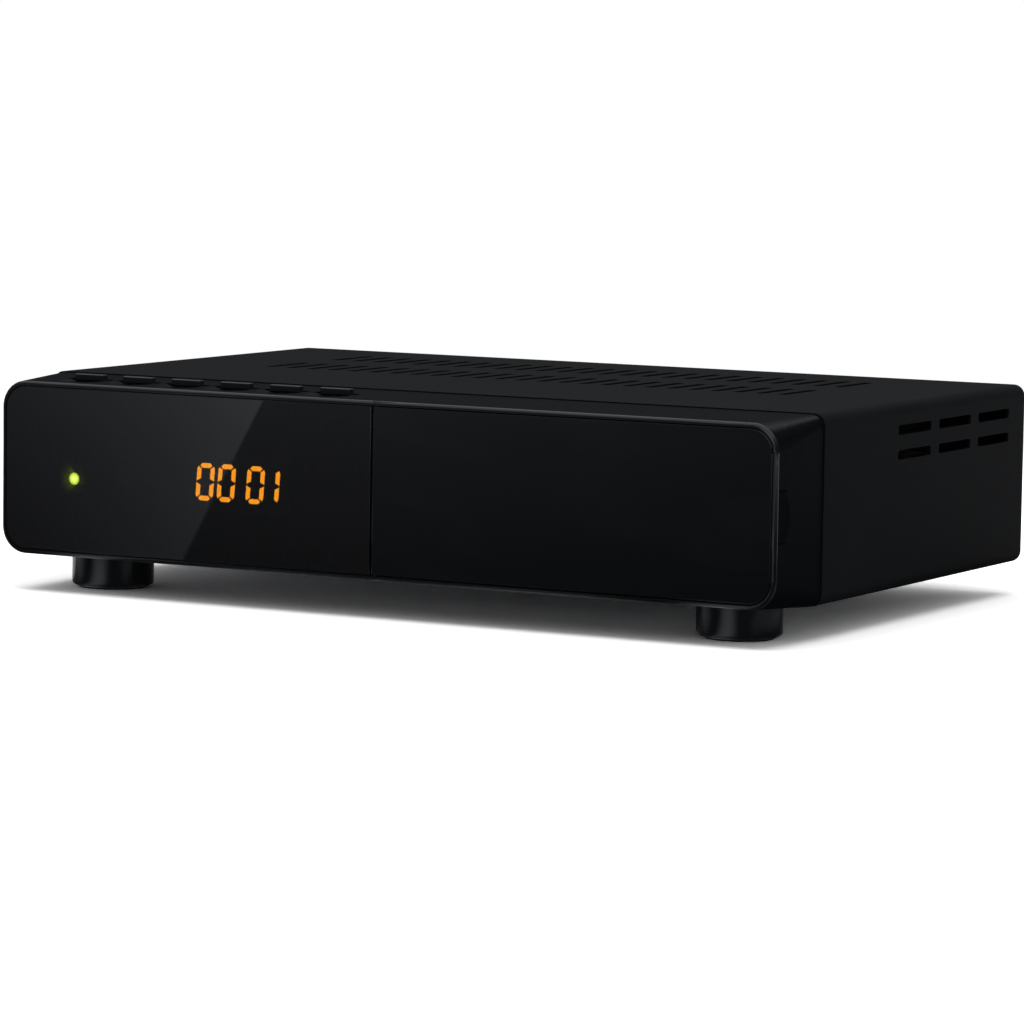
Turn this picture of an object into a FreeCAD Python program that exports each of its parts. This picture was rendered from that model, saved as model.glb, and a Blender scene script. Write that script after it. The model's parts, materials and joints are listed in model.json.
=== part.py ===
import FreeCAD, Part
import math
import os
from FreeCAD import Vector

# Satellite television receiver: a sheet-steel tray and cover, a moulded front bezel with a
# display window, a hinged flap and six top keys, two circuit boards, rear sockets and four feet.
# Millimetres. While modelling, Y = 0 is the front face and Z = 0 is the floor; X is centred.
# The finished pieces are moved back so that the origin is under the middle of the whole part.

# ---- Case --------------------------------------------------------------------------------
case_width = 220.0          # across the steel cover
case_height = 46.2          # of the steel cover, without the feet
case_depth = 146.5          # front face to the cover's rear edge
foot_height = 8.4           # floor to the underside of the cover
sheet = 0.8                 # steel of the cover and the tray
cover_bend = 3.0            # outer bend radius of the cover
cover_flange = 9.0          # turned in under the tray on each side
cover_lip = 7.5             # turned down behind the rear wall
cover_gap = 0.3             # open line between bezel and cover
tray_side_gap = 0.4         # tray to the inside of the cover
tray_side_height = 7.0
tray_flange_height = 7.5    # front flange that the bezel hooks into
tray_front = 19.5           # front edge of the tray
rear_wall_drop = 0.3        # rear wall's top edge below the cover

# ---- Ventilation slots -------------------------------------------------------------------
top_slot_count = 25
top_slot_pitch = 6.25
top_slot_width = 2.5
top_slot_length = 19.6
top_slot_rows = (83.0, 116.8)
side_slot_length = 19.8
side_slot_height = 2.4
side_slot_round = 0.7
side_slot_pitch = 24.7
side_slot_first = 77.0      # middle of the foremost slot
side_slot_columns = 3
side_slot_drop = 6.7        # cover's top to the middle of the upper row
side_slot_row_pitch = 6.15
floor_slot_count = 9
floor_slot_pitch = 9.0
floor_slot_length = 26.0
floor_slot_width = 3.0
floor_slot_rows = (62.0, 98.0)

# ---- Front bezel -------------------------------------------------------------------------
bezel_depth = 24.2
front_side_inset = 0.7      # front face inside the cover's outline, each side
front_low_inset = 1.2
front_top_inset = 1.0
front_round = 7.0           # corner radius of the front face
bezel_step = 0.3            # bezel's rear edge below the cover's top and inside its sides
rim_width = 1.1             # moulded rim round the window and the flap
rim_round = 0.9
plate_setback = 0.15        # window and flap faces behind the rim's front
plate_gap = 0.12            # window to rim
bezel_wall = 1.8
cavity_round = 4.0
tongue_length = 3.5         # bezel tongue that reaches inside the cover
tongue_wall = 1.4
tongue_gap = 0.2
tongue_clear = 3.8          # tongue starts this far above the tray's sides
hook_width = 6.0
hook_thickness = 1.4
hook_rise = 1.2             # hook above the bezel's floor
hook_nose = 1.2
hook_gap = 0.3
hook_inset = 28.0           # outer hooks in from the case's sides
hook_spacing = 48.0

# ---- Display window and what is behind it --------------------------------------------------
window_width = 107.68
window_thickness = 1.85
window_edge_bevel = 0.15    # round the outside of window and flap
window_seam_bevel = 0.1
display_inset = 71.0        # case's left side to the middle of the display
display_width = 30.2
display_height = 14.0
display_drop = 0.7          # display's middle below the front's middle
display_gap = 0.4
display_face_gap = 0.1      # window's back to the display's face
digit_height = 9.4
digit_width = 5.1
digit_pitch = 6.2
digit_pair_pitch = 8.45     # second digit to the third
digit_last_pitch = 4.4      # third digit to the narrow fourth place
digit_row_start = 9.8       # display's middle to the first digit's middle
digit_stroke = 1.2
digit_lean = 0.075          # sideways lean per unit of height
digit_joint = 0.22          # dark line between neighbouring segments
digit_depth = 0.06
lamp_inset = 22.0           # case's left side to the status lamp
lamp_drop = 2.2
lamp_radius = 1.5
lamp_collar = 0.4
sensor_inset = 38.0         # case's left side to the infrared sensor
sensor_radius = 3.0
sensor_border = 0.6         # sensor's body round its lens

# ---- Flap --------------------------------------------------------------------------------
flap_seam = 0.4             # open line between window and flap
flap_gap = 0.2              # flap to rim
flap_seam_bevel = 0.2
flap_skin = 0.8
flap_thickness = 3.0
flap_skin_overhang = 0.4    # skin beyond the carrier behind it
flap_rest_gap = 0.3         # flap's back to the ledge it closes on
hinge_edge = 0.75           # flap's left edge to the hinge axis
hinge_setback = 0.75        # flap's face to the hinge axis
hinge_pin_radius = 0.45
hinge_running_gap = 0.05
hinge_pin_reach = 0.5       # pin into the rim
hinge_pin_root = 4.0        # pin inside the flap
flap_rib = 0.8              # ribs on the flap's back
flap_rib_count = 3
flap_rib_border = 2.0       # plain border round the ribs
ledge_thickness = 1.6
pocket_margin_low = 5.5     # rim to the pocket behind the flap
pocket_margin_high = 3.8
pocket_margin_side = 4.4
pocket_floor = 15.0
pocket_wall = 1.5
scoop_radius = 8.0          # finger scoop in the right side, behind the rim
scoop_depth = 0.9
scoop_back = 7.2            # front face to the scoop's rear end
scoop_length = 12.3
notch_height = 0.5          # notch at each end of the scoop
notch_depth = 0.75
notch_reach = 4.5

# ---- Keys --------------------------------------------------------------------------------
key_names = ("standby", "menu", "ok", "channel_down", "channel_up", "source")
key_pitch = 14.58
key_row_inset = 19.8        # case's left side to the first key
key_width = 8.6
key_length = 2.0
key_front = 11.0
key_rise = 1.2              # key's top above the bezel
key_cap_height = 1.55
key_undercut = 0.9          # cap's face in front of its neck
key_round = 0.35
key_wing_reach = 1.8        # low wing beside the key, each side
key_wing_length = 2.0
key_wing_drop = 0.9
key_gap = 0.3
key_flange_thickness = 0.8
key_flange_margin = 1.3     # flange beyond the cap and wings, front and back
key_travel = 0.5
key_stem = 3.0
key_dish_radius = 6.5       # finger dish in front of each key
key_dish_depth = 1.15
key_dish_setback = 3.0      # dish's middle in front of the key's face
plunger_radius = 1.6
plunger_gap = 0.06
plunger_length = 2.8
plunger_reach = 1.2         # plunger standing out of its switch
switch_width = 6.0
switch_depth = 4.0
switch_height = 5.0

# ---- Boards ------------------------------------------------------------------------------
board_thickness = 1.6
front_board_setback = 5.0   # window wall to the front board
front_board_low = 4.8       # front face's lower edge to the board
front_board_margin = 9.0    # case's left side to the board
front_board_end = 3.2       # board's end to the flap's pocket
boss_radius = 2.6
boss_inset = 4.2
standoff_height = 6.0
standoff_radius = 3.0
standoff_inset = 5.0
board_front = 22.0
board_rear_gap = 1.5        # boards to the rear wall
main_board_side = 5.2       # main board to the inside of the cover
power_board_side = 6.2
power_board_width = 61.0
power_board_front = 36.0
board_spacing = 8.0         # between the two boards
insulator_thickness = 0.4
insulator_margin = 1.6
insulator_clear = 0.5

# ---- Rear sockets ------------------------------------------------------------------------
aerial_reach = 10.0         # aerial connectors behind the rear wall
aerial_radius = 4.75        # outside of the free thread
aerial_pitch_radius = 4.5   # where the thread and its nut meet
aerial_bore = 3.6
aerial_bore_depth = 8.0
aerial_pin_hole = 0.6
aerial_lead_in = 0.4        # chamfer on the connector's end
aerial_insert_setback = 0.6
aerial_spacing = 19.0
aerial_height = 9.5         # above the main board
aerial_nut_flats = 11.1
aerial_nut_thickness = 2.2
aerial_hole_gap = 0.5
tuner_width = 40.0
tuner_depth = 46.0
tuner_height = 18.5
tuner_wall = 0.5
audio_width = 10.4
audio_depth = 14.0
audio_body_height = 13.0
audio_height = 8.0
audio_radius = 4.15
audio_collar = 0.9          # moulded collar round the sleeve, in the rear wall's opening
audio_bore = 3.3
audio_reach = 8.5
video_width = 15.0
video_height = 5.6
video_depth = 12.0
video_reach = 0.6
av_width = 50.0
av_height = 18.0
av_depth = 16.0
av_reach = 1.0
av_groove = 1.8
av_groove_inset = 1.6
av_groove_depth = 8.0
av_contacts = 10            # in each of the two rows
av_row_heights = (6.5, 11.2)
av_slot_width = 0.85
av_slot_height = 2.8
av_corner = 4.5             # slanted corner of the plug's outline
inlet_width = 20.4
inlet_height = 15.0
inlet_depth = 20.0
inlet_reach = 1.2
inlet_inset = 38.0          # case's left side to the mains inlet
inlet_pin_spacing = 8.6
inlet_pin_radius = 1.2
inlet_lobe_radius = 4.3
inlet_waist = 6.4           # height of the recess between its two lobes
inlet_pin_round = 1.0
inlet_recess = 9.5
inlet_pin_length = 8.0
socket_gap = 0.3            # rear wall's openings round the sockets
data_width = 14.4
data_height = 7.1
data_depth = 14.5
data_inset = 18.0           # main board's right edge to the socket's middle
shell_wall = 0.4
tongue_thickness = 1.8      # contact tongue inside a socket
shell_floor = 2.0           # closed end of a flat socket
tongue_setback = 1.5        # contact tongue behind the socket's mouth
tongue_side_gap = 1.4
data_tongue_rise = 1.0      # above the data socket's middle
audio_hole = 1.6

# ---- Main board ----------------------------------------------------------------------------
chip_size = 22.0
chip_thickness = 1.6
chip_setback = 46.0         # board's front edge to the chip's middle
chip_shift = 6.0            # board's middle to the chip's, towards the left
memory_width = 9.0
memory_depth = 12.0
memory_thickness = 1.1
memory_gap = 2.0            # between the two memory chips on the right
memory_clear = 4.0          # heat sink to the memory chips
sink_size = 28.0
sink_base = 2.0
sink_fin = 1.0
sink_fin_count = 8
sink_height = 10.0
small_cap_radius = 3.2
small_cap_height = 11.0
small_cap_count = 4
small_cap_pitch = 9.0
small_cap_inset = 14.0      # board's left edge to the row
small_cap_setback = 48.0
coil_radius = 4.5
coil_height = 6.5
coil_flange = 1.6
coil_groove = 0.7
coil_count = 3
coil_pitch = 11.0
coil_inset = 5.0
coil_setback = 52.0
rear_screw_setback = 24.0   # board's rear edge to the left rear screw
tuner_screw_clear = 8.0     # tuner can to the right rear screw

# ---- Power board, front to back --------------------------------------------------------------
output_cap_radius = 4.0
output_cap_height = 15.0
output_cap_count = 3
output_cap_pitch = 10.0
output_cap_inset = 22.5     # board's left edge to the row
output_cap_setback = 14.0
fin_thickness = 2.0
fin_length = 22.0
fin_height = 24.0
fin_foot = 3.0              # turned-over top edge
fin_inset = 9.0             # board's left edge to the plate
fin_setback = 80.0          # board's rear edge to the plate's middle
transistor_width = 10.0
transistor_height = 15.0
transistor_thickness = 4.0
transistor_rise = 4.0
core_width = 28.0
core_depth = 12.0
core_height = 20.0
core_border = 3.0
winding_width = 20.0
winding_depth = 24.0
bobbin_margin = 1.0
bobbin_thickness = 2.0
transformer_shift = 8.0     # board's middle to the transformer, towards the right
transformer_setback = 60.0
bulk_radius = 8.0
bulk_height = 22.0
bulk_edge = 0.8
bulk_inset = 14.0
bulk_setback = 56.0
choke_width = 18.0
choke_depth = 16.0
choke_height = 14.0
choke_limb = 4.0            # section of the choke's ferrite frame
choke_winding = 7.0         # width of its winding below the frame
choke_inset = 17.0
choke_setback = 34.0
fuse_radius = 2.6
fuse_length = 20.0
fuse_rise = 5.0
fuse_clip_length = 4.0
fuse_clip_wall = 0.6
fuse_clip_inset = 0.5       # fuse's end to the clip
fuse_inset = 14.0           # board's right edge to the fuse

# ---- Leads between the boards ------------------------------------------------------------------
ribbon_width = 16.0
ribbon_thickness = 0.3
ribbon_bend = 6.0
ribbon_inset = 20.0         # main board's left edge to the cable's middle
ribbon_setback = 8.0        # main board's front edge to its connector
ribbon_drop = 1.0           # display's middle to the cable
header_depth = 3.0
header_height = 5.0
header_margin = 2.0
wire_radius = 0.7
wire_pitch = 2.5
wire_count = 5
wire_inset = 5.0            # each board's edge to its connector
wire_setback = 20.0         # power board's front edge to the wires' middle
wire_header_height = 7.0
wire_lead = 3.0

# ---- Feet and fasteners --------------------------------------------------------------------
foot_radius = 10.5
foot_inset = 20.3           # case's side to the front foot's middle
rear_foot_inset = 52.0
front_foot_setback = 22.0
rear_foot_setback = 22.0
foot_edge = 1.0
foot_boss_radius = 4.0
foot_boss_gap = 0.3
foot_seat = 5.0             # floor to the screw's seat inside the foot
pad_radius = 8.5
pad_bore = 4.0
pad_thickness = 1.4
pad_proud = 0.6
screw_radius = 1.4
screw_gap = 0.1
screw_head_radius = 2.8
screw_head_height = 1.8
screw_cross = 0.6           # width of the cross in the head
head_clear = 0.5
foot_screw_end = 1.5        # beyond the tray
board_screw_length = 6.0
cover_screw_length = 6.0
cover_screw_inset = 15.0
cover_screw_drop = 4.0

# ---- Places that follow from the sizes -------------------------------------------------------
half = case_width / 2
bottom = foot_height
top = bottom + case_height
inner_half = half - sheet
inner_top = top - sheet
tray_bottom = bottom + sheet
tray_floor = tray_bottom + sheet
tray_half = inner_half - tray_side_gap
wall_back = case_depth - sheet
wall_front = wall_back - sheet
cover_front = bezel_depth + cover_gap
tray_wide_from = cover_front + tongue_length
overall_depth = wall_back + aerial_reach

front_half = half - front_side_inset
front_low = bottom + front_low_inset
front_high = top - front_top_inset
front_mid = (front_low + front_high) / 2
recess_half = front_half - rim_width
recess_low = front_low + rim_width
recess_high = front_high - rim_width
recess_round = front_round - rim_width
window_seat = plate_setback + window_thickness
window_wall_back = window_seat + bezel_wall
window_left = -recess_half + plate_gap
seam_left = window_left + window_width
cavity_half = front_half - bezel_wall
cavity_low = front_low + bezel_wall
cavity_high = front_high - bezel_wall
nose_half = half - cover_flange - tray_side_gap

flap_left = seam_left + flap_seam
flap_right = recess_half - flap_gap
flap_back = plate_setback + flap_thickness
skin_back = plate_setback + flap_skin
ledge_front = flap_back + flap_rest_gap
hinge_x = flap_left + hinge_edge
hinge_depth = plate_setback + hinge_setback
flap_low = recess_low + flap_gap
flap_high = recess_high - flap_gap
pocket_left = seam_left + pocket_margin_side
pocket_low = recess_low + pocket_margin_low
pocket_high = recess_high - pocket_margin_high
pocket_right = recess_half - pocket_margin_side

key_middle = key_front + key_length / 2
bezel_slope = (front_top_inset) / bezel_depth
key_surface = front_high + bezel_slope * key_middle
key_top = key_surface + key_rise
wing_front = key_front
wing_back = wing_front + key_wing_length
key_flange_top = cavity_high - key_gap
key_flange_bottom = key_flange_top - key_flange_thickness
front_board_y = window_wall_back + front_board_setback
front_board_back = front_board_y + board_thickness
plunger_y = front_board_back + switch_depth / 2
plunger_top = key_flange_bottom - key_stem
switch_top = plunger_top - plunger_reach
switch_low = switch_top - switch_height
front_board_left = -half + front_board_margin
front_board_right = seam_left - pocket_wall - front_board_end + 1.5 * board_thickness
front_board_bottom = front_low + front_board_low
display_x = -half + display_inset
display_z = front_mid - display_drop
lamp_x = -half + lamp_inset
lamp_z = front_mid - lamp_drop
sensor_x = -half + sensor_inset

board_under = tray_floor + standoff_height
board_top = board_under + board_thickness
board_rear = wall_front - board_rear_gap
main_right = inner_half - main_board_side
power_left = -inner_half + power_board_side
power_right = power_left + power_board_width
main_left = power_right + board_spacing
sockets_total = tuner_width + audio_width + video_width + av_width
socket_spacing = (main_right - main_left - sockets_total) / 5
tuner_x = main_right - socket_spacing - tuner_width / 2
audio_x = tuner_x - tuner_width / 2 - socket_spacing - audio_width / 2
video_x = audio_x - audio_width / 2 - socket_spacing - video_width / 2
av_x = video_x - video_width / 2 - socket_spacing - av_width / 2
aerial_z = board_top + aerial_height
aerial_xs = (tuner_x + aerial_spacing / 2, tuner_x - aerial_spacing / 2)
audio_z = board_top + audio_height
inlet_x = -half + inlet_inset
inlet_z = board_top + inlet_height / 2
data_x = main_right - data_inset
chip_x = (main_left + main_right) / 2 - chip_shift
chip_y = board_front + chip_setback
ribbon_x = main_left + ribbon_inset
ribbon_y = board_front + ribbon_setback
ribbon_z = display_z - ribbon_drop
wire_from = power_right - wire_inset
wire_to = main_left + wire_inset
wire_y = power_board_front + wire_setback

foot_x = half - foot_inset
rear_foot_x = half - rear_foot_inset
foot_places = [(sx * x, y) for x, y in ((foot_x, front_foot_setback),
                                        (rear_foot_x, case_depth - rear_foot_setback))
               for sx in (-1, 1)]
cover_screw_xs = (-half + cover_screw_inset, 0.0, half - cover_screw_inset)
cover_screw_z = top - cover_screw_drop
key_xs = [-half + key_row_inset + i * key_pitch for i in range(len(key_names))]
ALONG = 10.0                # how far a cutting tool runs past a face
TOUCH = 0.01                # nearness at which two places count as one


# ---- Shapes that many pieces use -------------------------------------------------------------
def block(x0, x1, y0, y1, z0, z1):
    """A box between two corners."""
    return Part.makeBox(x1 - x0, y1 - y0, z1 - z0, Vector(x0, y0, z0))


def upright(x, y, radius, z0, z1):
    """A cylinder along Z."""
    return Part.makeCylinder(radius, z1 - z0, Vector(x, y, z0), Vector(0, 0, 1))


def lying(x, z, radius, y0, y1):
    """A cylinder along Y."""
    return Part.makeCylinder(radius, y1 - y0, Vector(x, y0, z), Vector(0, 1, 0))


def corner_wire(x0, x1, z0, z1, radii, y):
    """A closed outline at one Y. Radii run lower left, lower right, upper right, upper left."""
    corners = ((x0, z0), (x1, z0), (x1, z1), (x0, z1))
    ways = ((1, 0), (0, 1), (-1, 0), (0, -1))
    points = []
    for i, (cx, cz) in enumerate(corners):
        into, out, r = ways[i - 1], ways[i], radii[i]
        middle = (cx - into[0] * r + out[0] * r, cz - into[1] * r + out[1] * r)
        bulge = r / math.sqrt(2)
        points.append((
            Vector(cx - into[0] * r, y, cz - into[1] * r),
            Vector(middle[0] + (into[0] - out[0]) * bulge, y, middle[1] + (into[1] - out[1]) * bulge),
            Vector(cx + out[0] * r, y, cz + out[1] * r)))
    edges = []
    for i, (start, middle, end) in enumerate(points):
        if radii[i] > 0:
            edges.append(Part.Arc(start, middle, end).toShape())
        edges.append(Part.LineSegment(end, points[(i + 1) % 4][0]).toShape())
    return Part.Wire(edges)


def plate(x0, x1, z0, z1, radii, y0, y1):
    """A slab along Y with rounded corners in its face."""
    face = Part.Face(corner_wire(x0, x1, z0, z1, radii, y0))
    return face.extrude(Vector(0, y1 - y0, 0))


def polygon_slab(points, y0, y1):
    """A slab along Y from (x, z) points."""
    corners = [Vector(x, y0, z) for x, z in points]
    face = Part.Face(Part.makePolygon(corners + corners[:1]))
    return face.extrude(Vector(0, y1 - y0, 0))


def slot_along_y(x, y, width, length, z0, z1):
    """A slot with round ends that runs front to back, cut downwards."""
    straight = (length - width) / 2
    ends = [upright(x, y + s * straight, width / 2, z0, z1) for s in (-1, 1)]
    return block(x - width / 2, x + width / 2, y - straight, y + straight, z0, z1).fuse(ends)


def side_slot(x0, x1, y, z):
    """A slot along Y through a side wall, with small corner rounds."""
    face = Part.Face(corner_wire(y - side_slot_length / 2, y + side_slot_length / 2,
                                 z - side_slot_height / 2, z + side_slot_height / 2,
                                 (side_slot_round,) * 4, 0))
    slot = face.extrude(Vector(0, x1 - x0, 0))
    slot.rotate(Vector(0, 0, 0), Vector(0, 0, 1), 90)
    slot.translate(Vector(x1, 0, 0))
    return slot


def pan_screw(length):
    """A pan-head screw along -Z with its seat at the origin."""
    head = upright(0, 0, screw_head_radius, 0, screw_head_height)
    head = head.makeFillet(screw_head_height / 2, [head.Edges[0]])
    cross = [block(-screw_head_radius / 2, screw_head_radius / 2, -screw_cross / 2, screw_cross / 2,
                   screw_head_height / 2, screw_head_height + 1)]
    cross.append(cross[0].copy())
    cross[1].rotate(Vector(0, 0, 0), Vector(0, 0, 1), 90)
    return head.cut(cross).fuse(upright(0, 0, screw_radius, -length, 0)).removeSplitter()


def placed(shape, x, y, z, axis=None, angle=0):
    """A copy turned about an axis through the origin and then moved."""
    copy = shape.copy()
    if axis is not None:
        copy.rotate(Vector(0, 0, 0), axis, angle)
    copy.translate(Vector(x, y, z))
    return copy


def end_edges(shape, axis):
    """The edges at a shape's far end along Y or Z."""
    limit = getattr(shape.BoundBox, axis + "Max") - TOUCH
    return [e for e in shape.Edges if getattr(e.BoundBox, axis + "Min") > limit]


def together(solids):
    """Separate solids as one group."""
    return Part.makeCompound(solids)


# ---- Sheet-metal case ------------------------------------------------------------------------
def top_cover():
    """Wrapped steel cover with its slots, bottom flanges and rear lip."""
    outer = plate(-half, half, bottom, top, (cover_bend,) * 4, cover_front, case_depth)
    inside = plate(-inner_half, inner_half, bottom + sheet, inner_top,
                   (cover_bend - sheet,) * 4, cover_front - ALONG, case_depth - sheet)
    below_lip = block(-half, half, case_depth - sheet - 1, case_depth + 1, bottom - 1, top - cover_lip)
    rim_inside = plate(-inner_half, inner_half, bottom + sheet, top, (cover_bend - sheet,) * 2 + (0, 0),
                       case_depth - sheet - 1, case_depth + 1)
    mouth = block(-half + cover_flange, half - cover_flange, cover_front - 1, case_depth + 1,
                  bottom - 1, bottom + sheet + 1)
    cuts = [inside, rim_inside.common(below_lip), mouth]
    for row in top_slot_rows:
        for i in range(top_slot_count):
            x = (i - (top_slot_count - 1) / 2) * top_slot_pitch
            cuts.append(slot_along_y(x, row, top_slot_width, top_slot_length, inner_top - 1, top + 1))
    for i in range(side_slot_columns):
        y = side_slot_first + i * side_slot_pitch
        for row in (0, 1):
            z = top - side_slot_drop - row * side_slot_row_pitch
            cuts.append(side_slot(inner_half - 1, half + 1, y, z))
            cuts.append(side_slot(-half - 1, -inner_half + 1, y, z))
    for x in cover_screw_xs:
        cuts.append(lying(x, cover_screw_z, screw_radius + screw_gap, case_depth - sheet - 1, case_depth + 1))
    return outer.cut(cuts)


def base_tray():
    """Steel tray: floor, low sides, front flange and rear wall with the socket openings."""
    bend = cover_bend - sheet - (cover_bend - sheet) / 10
    trough = plate(-tray_half, tray_half, tray_bottom, tray_bottom + tray_side_height,
                   (bend, bend, 0, 0), tray_wide_from + tray_side_gap, wall_back)
    trough = trough.cut(plate(-tray_half + sheet, tray_half - sheet, tray_floor, top,
                              (bend - sheet, bend - sheet, 0, 0), 0, wall_front))
    nose = block(-nose_half, nose_half, tray_front, tray_wide_from + 2, tray_bottom, tray_floor)
    flange = block(-nose_half, nose_half, tray_front, tray_front + sheet,
                   tray_bottom, tray_bottom + tray_flange_height)
    rear = plate(-tray_half, tray_half, tray_bottom, inner_top - rear_wall_drop, (bend,) * 4,
                 wall_front, wall_back)
    tray = trough.fuse([nose, flange, rear])
    past = (wall_front - 1, wall_back + 1)
    cuts = [lying(x, aerial_z, aerial_radius + aerial_hole_gap, *past) for x in aerial_xs]
    cuts.append(lying(audio_x, audio_z, audio_radius + audio_collar + socket_gap, *past))
    for x, z0, width, height in ((video_x, board_top, video_width, video_height),
                                 (av_x, board_top, av_width, av_height),
                                 (inlet_x, board_top, inlet_width, inlet_height)):
        cuts.append(block(x - width / 2 - socket_gap, x + width / 2 + socket_gap, *past,
                          z0 - socket_gap, z0 + height + socket_gap))
    cuts += [lying(x, cover_screw_z, screw_radius + screw_gap / 2, *past) for x in cover_screw_xs]
    for x, y in foot_places:
        cuts.append(upright(x, y, screw_radius + screw_gap / 2, tray_bottom - 1, tray_floor + 1))
    for x in hook_places():
        low = cavity_low + hook_rise - hook_gap
        cuts.append(block(x - hook_width / 2 - hook_gap, x + hook_width / 2 + hook_gap,
                          tray_front - 1, tray_front + sheet + 1,
                          low, low + hook_thickness + hook_nose + 2 * hook_gap))
    for row in floor_slot_rows:
        for i in range(floor_slot_count):
            x = (i - (floor_slot_count - 1) / 2) * floor_slot_pitch + (main_left + main_right) / 2
            cuts.append(slot_along_y(x, row, floor_slot_width, floor_slot_length,
                                     tray_bottom - 1, tray_floor + 1))
    return tray.cut(cuts)


def hook_places():
    """Middle of each bezel hook along X."""
    outer = half - hook_inset
    return (-outer, -outer + hook_spacing, outer - hook_spacing, outer)


# ---- Front bezel -----------------------------------------------------------------------------
def front_bezel():
    """Moulded front: tapered shell, rim, window wall, flap pocket, key openings and hooks."""
    front = corner_wire(-front_half, front_half, front_low, front_high, (front_round,) * 4, 0)
    back = corner_wire(-half + bezel_step, half - bezel_step, bottom, top - bezel_step,
                       (cover_bend,) * 4, bezel_depth)
    body = Part.makeLoft([front, back], True, True)
    rim_edges = [e for e in body.Edges if abs(e.BoundBox.YMax) < TOUCH]
    body = body.makeFillet(rim_round, rim_edges)
    body = body.cut([
        plate(-recess_half, seam_left, recess_low, recess_high,
              (recess_round, 0, 0, recess_round), -ALONG, window_seat),
        plate(seam_left, recess_half, recess_low, recess_high,
              (0, recess_round, recess_round, 0), -ALONG, ledge_front),
        bezel_cavity()])
    body = body.cut(block(-nose_half - hook_gap, nose_half + hook_gap, tray_front - hook_gap,
                          bezel_depth + 1, tray_bottom, cavity_low + 1))
    tongue = tongue_ring()
    body = body.fuse([tongue] + board_bosses() + bezel_hooks())
    return body.cut(flap_space() + finger_scoop() + window_openings() + key_openings() + foot_openings())


def bezel_cavity():
    """Space inside the bezel: all of it except the flap's pocket and its ledge."""
    cavity = plate(-cavity_half, cavity_half, cavity_low, cavity_high, (cavity_round,) * 4,
                   window_wall_back, bezel_depth + ALONG)
    left = seam_left - pocket_wall
    keep = [
        block(pocket_left - pocket_wall, pocket_right + pocket_wall, 0, pocket_floor + pocket_wall,
              pocket_low - pocket_wall, pocket_high + pocket_wall),
        block(left, half, 0, ledge_front + ledge_thickness, bottom, top)]
    return cavity.cut(keep)


def flap_space():
    """The pocket behind the flap and the two hinge sockets."""
    pocket = block(pocket_left, pocket_right, ledge_front - 1, pocket_floor, pocket_low, pocket_high)
    socket = data_box(socket_gap, pocket_floor - 1, pocket_floor + pocket_wall + 1)
    sockets = hinge_pins(hinge_pin_radius + hinge_running_gap, 2 * hinge_running_gap)
    return [pocket, socket] + sockets


def finger_scoop():
    """A shallow scoop in the right side, straight along the rim, with a notch at each end."""
    side = front_half + (front_side_inset - bezel_step) * scoop_back / bezel_depth
    ball = (scoop_radius ** 2 + scoop_depth ** 2) / (2 * scoop_depth)
    dish = Part.makeSphere(ball, Vector(side - scoop_depth + ball, scoop_back - scoop_radius, front_mid))
    low, high = front_mid - scoop_length / 2, front_mid + scoop_length / 2
    cuts = [dish.common(block(side - scoop_depth - 1, half + 1, rim_width, bezel_depth, low, high))]
    end = rim_width + notch_reach
    for z in (low, high):
        corners = [Vector(x, y, z - notch_height / 2)
                   for x, y in ((front_half - notch_depth, rim_width), (half + 1, rim_width),
                                (half + 1, end), (side, end))]
        face = Part.Face(Part.makePolygon(corners + corners[:1]))
        cuts.append(face.extrude(Vector(0, 0, notch_height)))
    return cuts


def data_box(gap, y0, y1):
    """The data socket's outline, larger by a gap, between two depths."""
    return block(data_x - data_width / 2 - gap, data_x + data_width / 2 + gap, y0, y1,
                 board_top - gap, board_top + data_height + gap)


def window_openings():
    """Holes in the wall behind the window, for the display, the lamp and the sensor."""
    past = (window_seat - 1, window_wall_back + 1)
    w, h = display_width / 2 + display_gap, display_height / 2 + display_gap
    return [block(display_x - w, display_x + w, *past, display_z - h, display_z + h),
            lying(lamp_x, lamp_z, lamp_radius + screw_gap, *past),
            lying(sensor_x, display_z, sensor_radius, *past)]


def key_openings():
    """A finger dish in front of each key, and the opening for the key and its wings."""
    cuts = []
    ball = (key_dish_radius ** 2 + key_dish_depth ** 2) / (2 * key_dish_depth)
    back = max(key_front + key_length, wing_back) + key_gap
    for x in key_xs:
        dish = Part.makeSphere(ball, Vector(x, key_front - key_dish_setback,
                                            key_surface - key_dish_depth + ball))
        w = key_width / 2 + key_wing_reach + key_gap
        cuts.append(dish.common(block(x - key_pitch / 2, x + key_pitch / 2, rim_width, key_front,
                                      cavity_high, top + 1)))
        cuts.append(block(x - w, x + w, key_front - key_gap, back, cavity_high - 1, top + 1))
    return cuts


def foot_openings():
    """Clearance round the front feet's bosses."""
    return [upright(x, y, foot_boss_radius + foot_boss_gap, bottom - 1, tray_bottom + 1)
            for x, y in foot_places if y < bezel_depth]


def tongue_ring():
    """Tongue behind the bezel's top and sides that the cover slides over."""
    out = inner_half - tongue_gap
    high = inner_top - tongue_gap
    low = tray_bottom + tray_side_height + tongue_clear
    r = cover_bend - sheet
    ring = plate(-out, out, low, high, (0, 0, r, r), bezel_depth - 2, cover_front + tongue_length)
    hollow = plate(-out + tongue_wall, out - tongue_wall, low - 1, high - tongue_wall,
                   (0, 0, r / 2, r / 2), 0, bezel_depth + ALONG)
    return ring.cut(hollow)


def board_places():
    """Middle of each front board boss, (x, z)."""
    low, high = front_board_bottom + boss_inset, switch_top - boss_inset - switch_height
    return [(x, z) for x in (front_board_left + boss_inset, front_board_right - boss_inset)
            for z in (low, high)]


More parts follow.
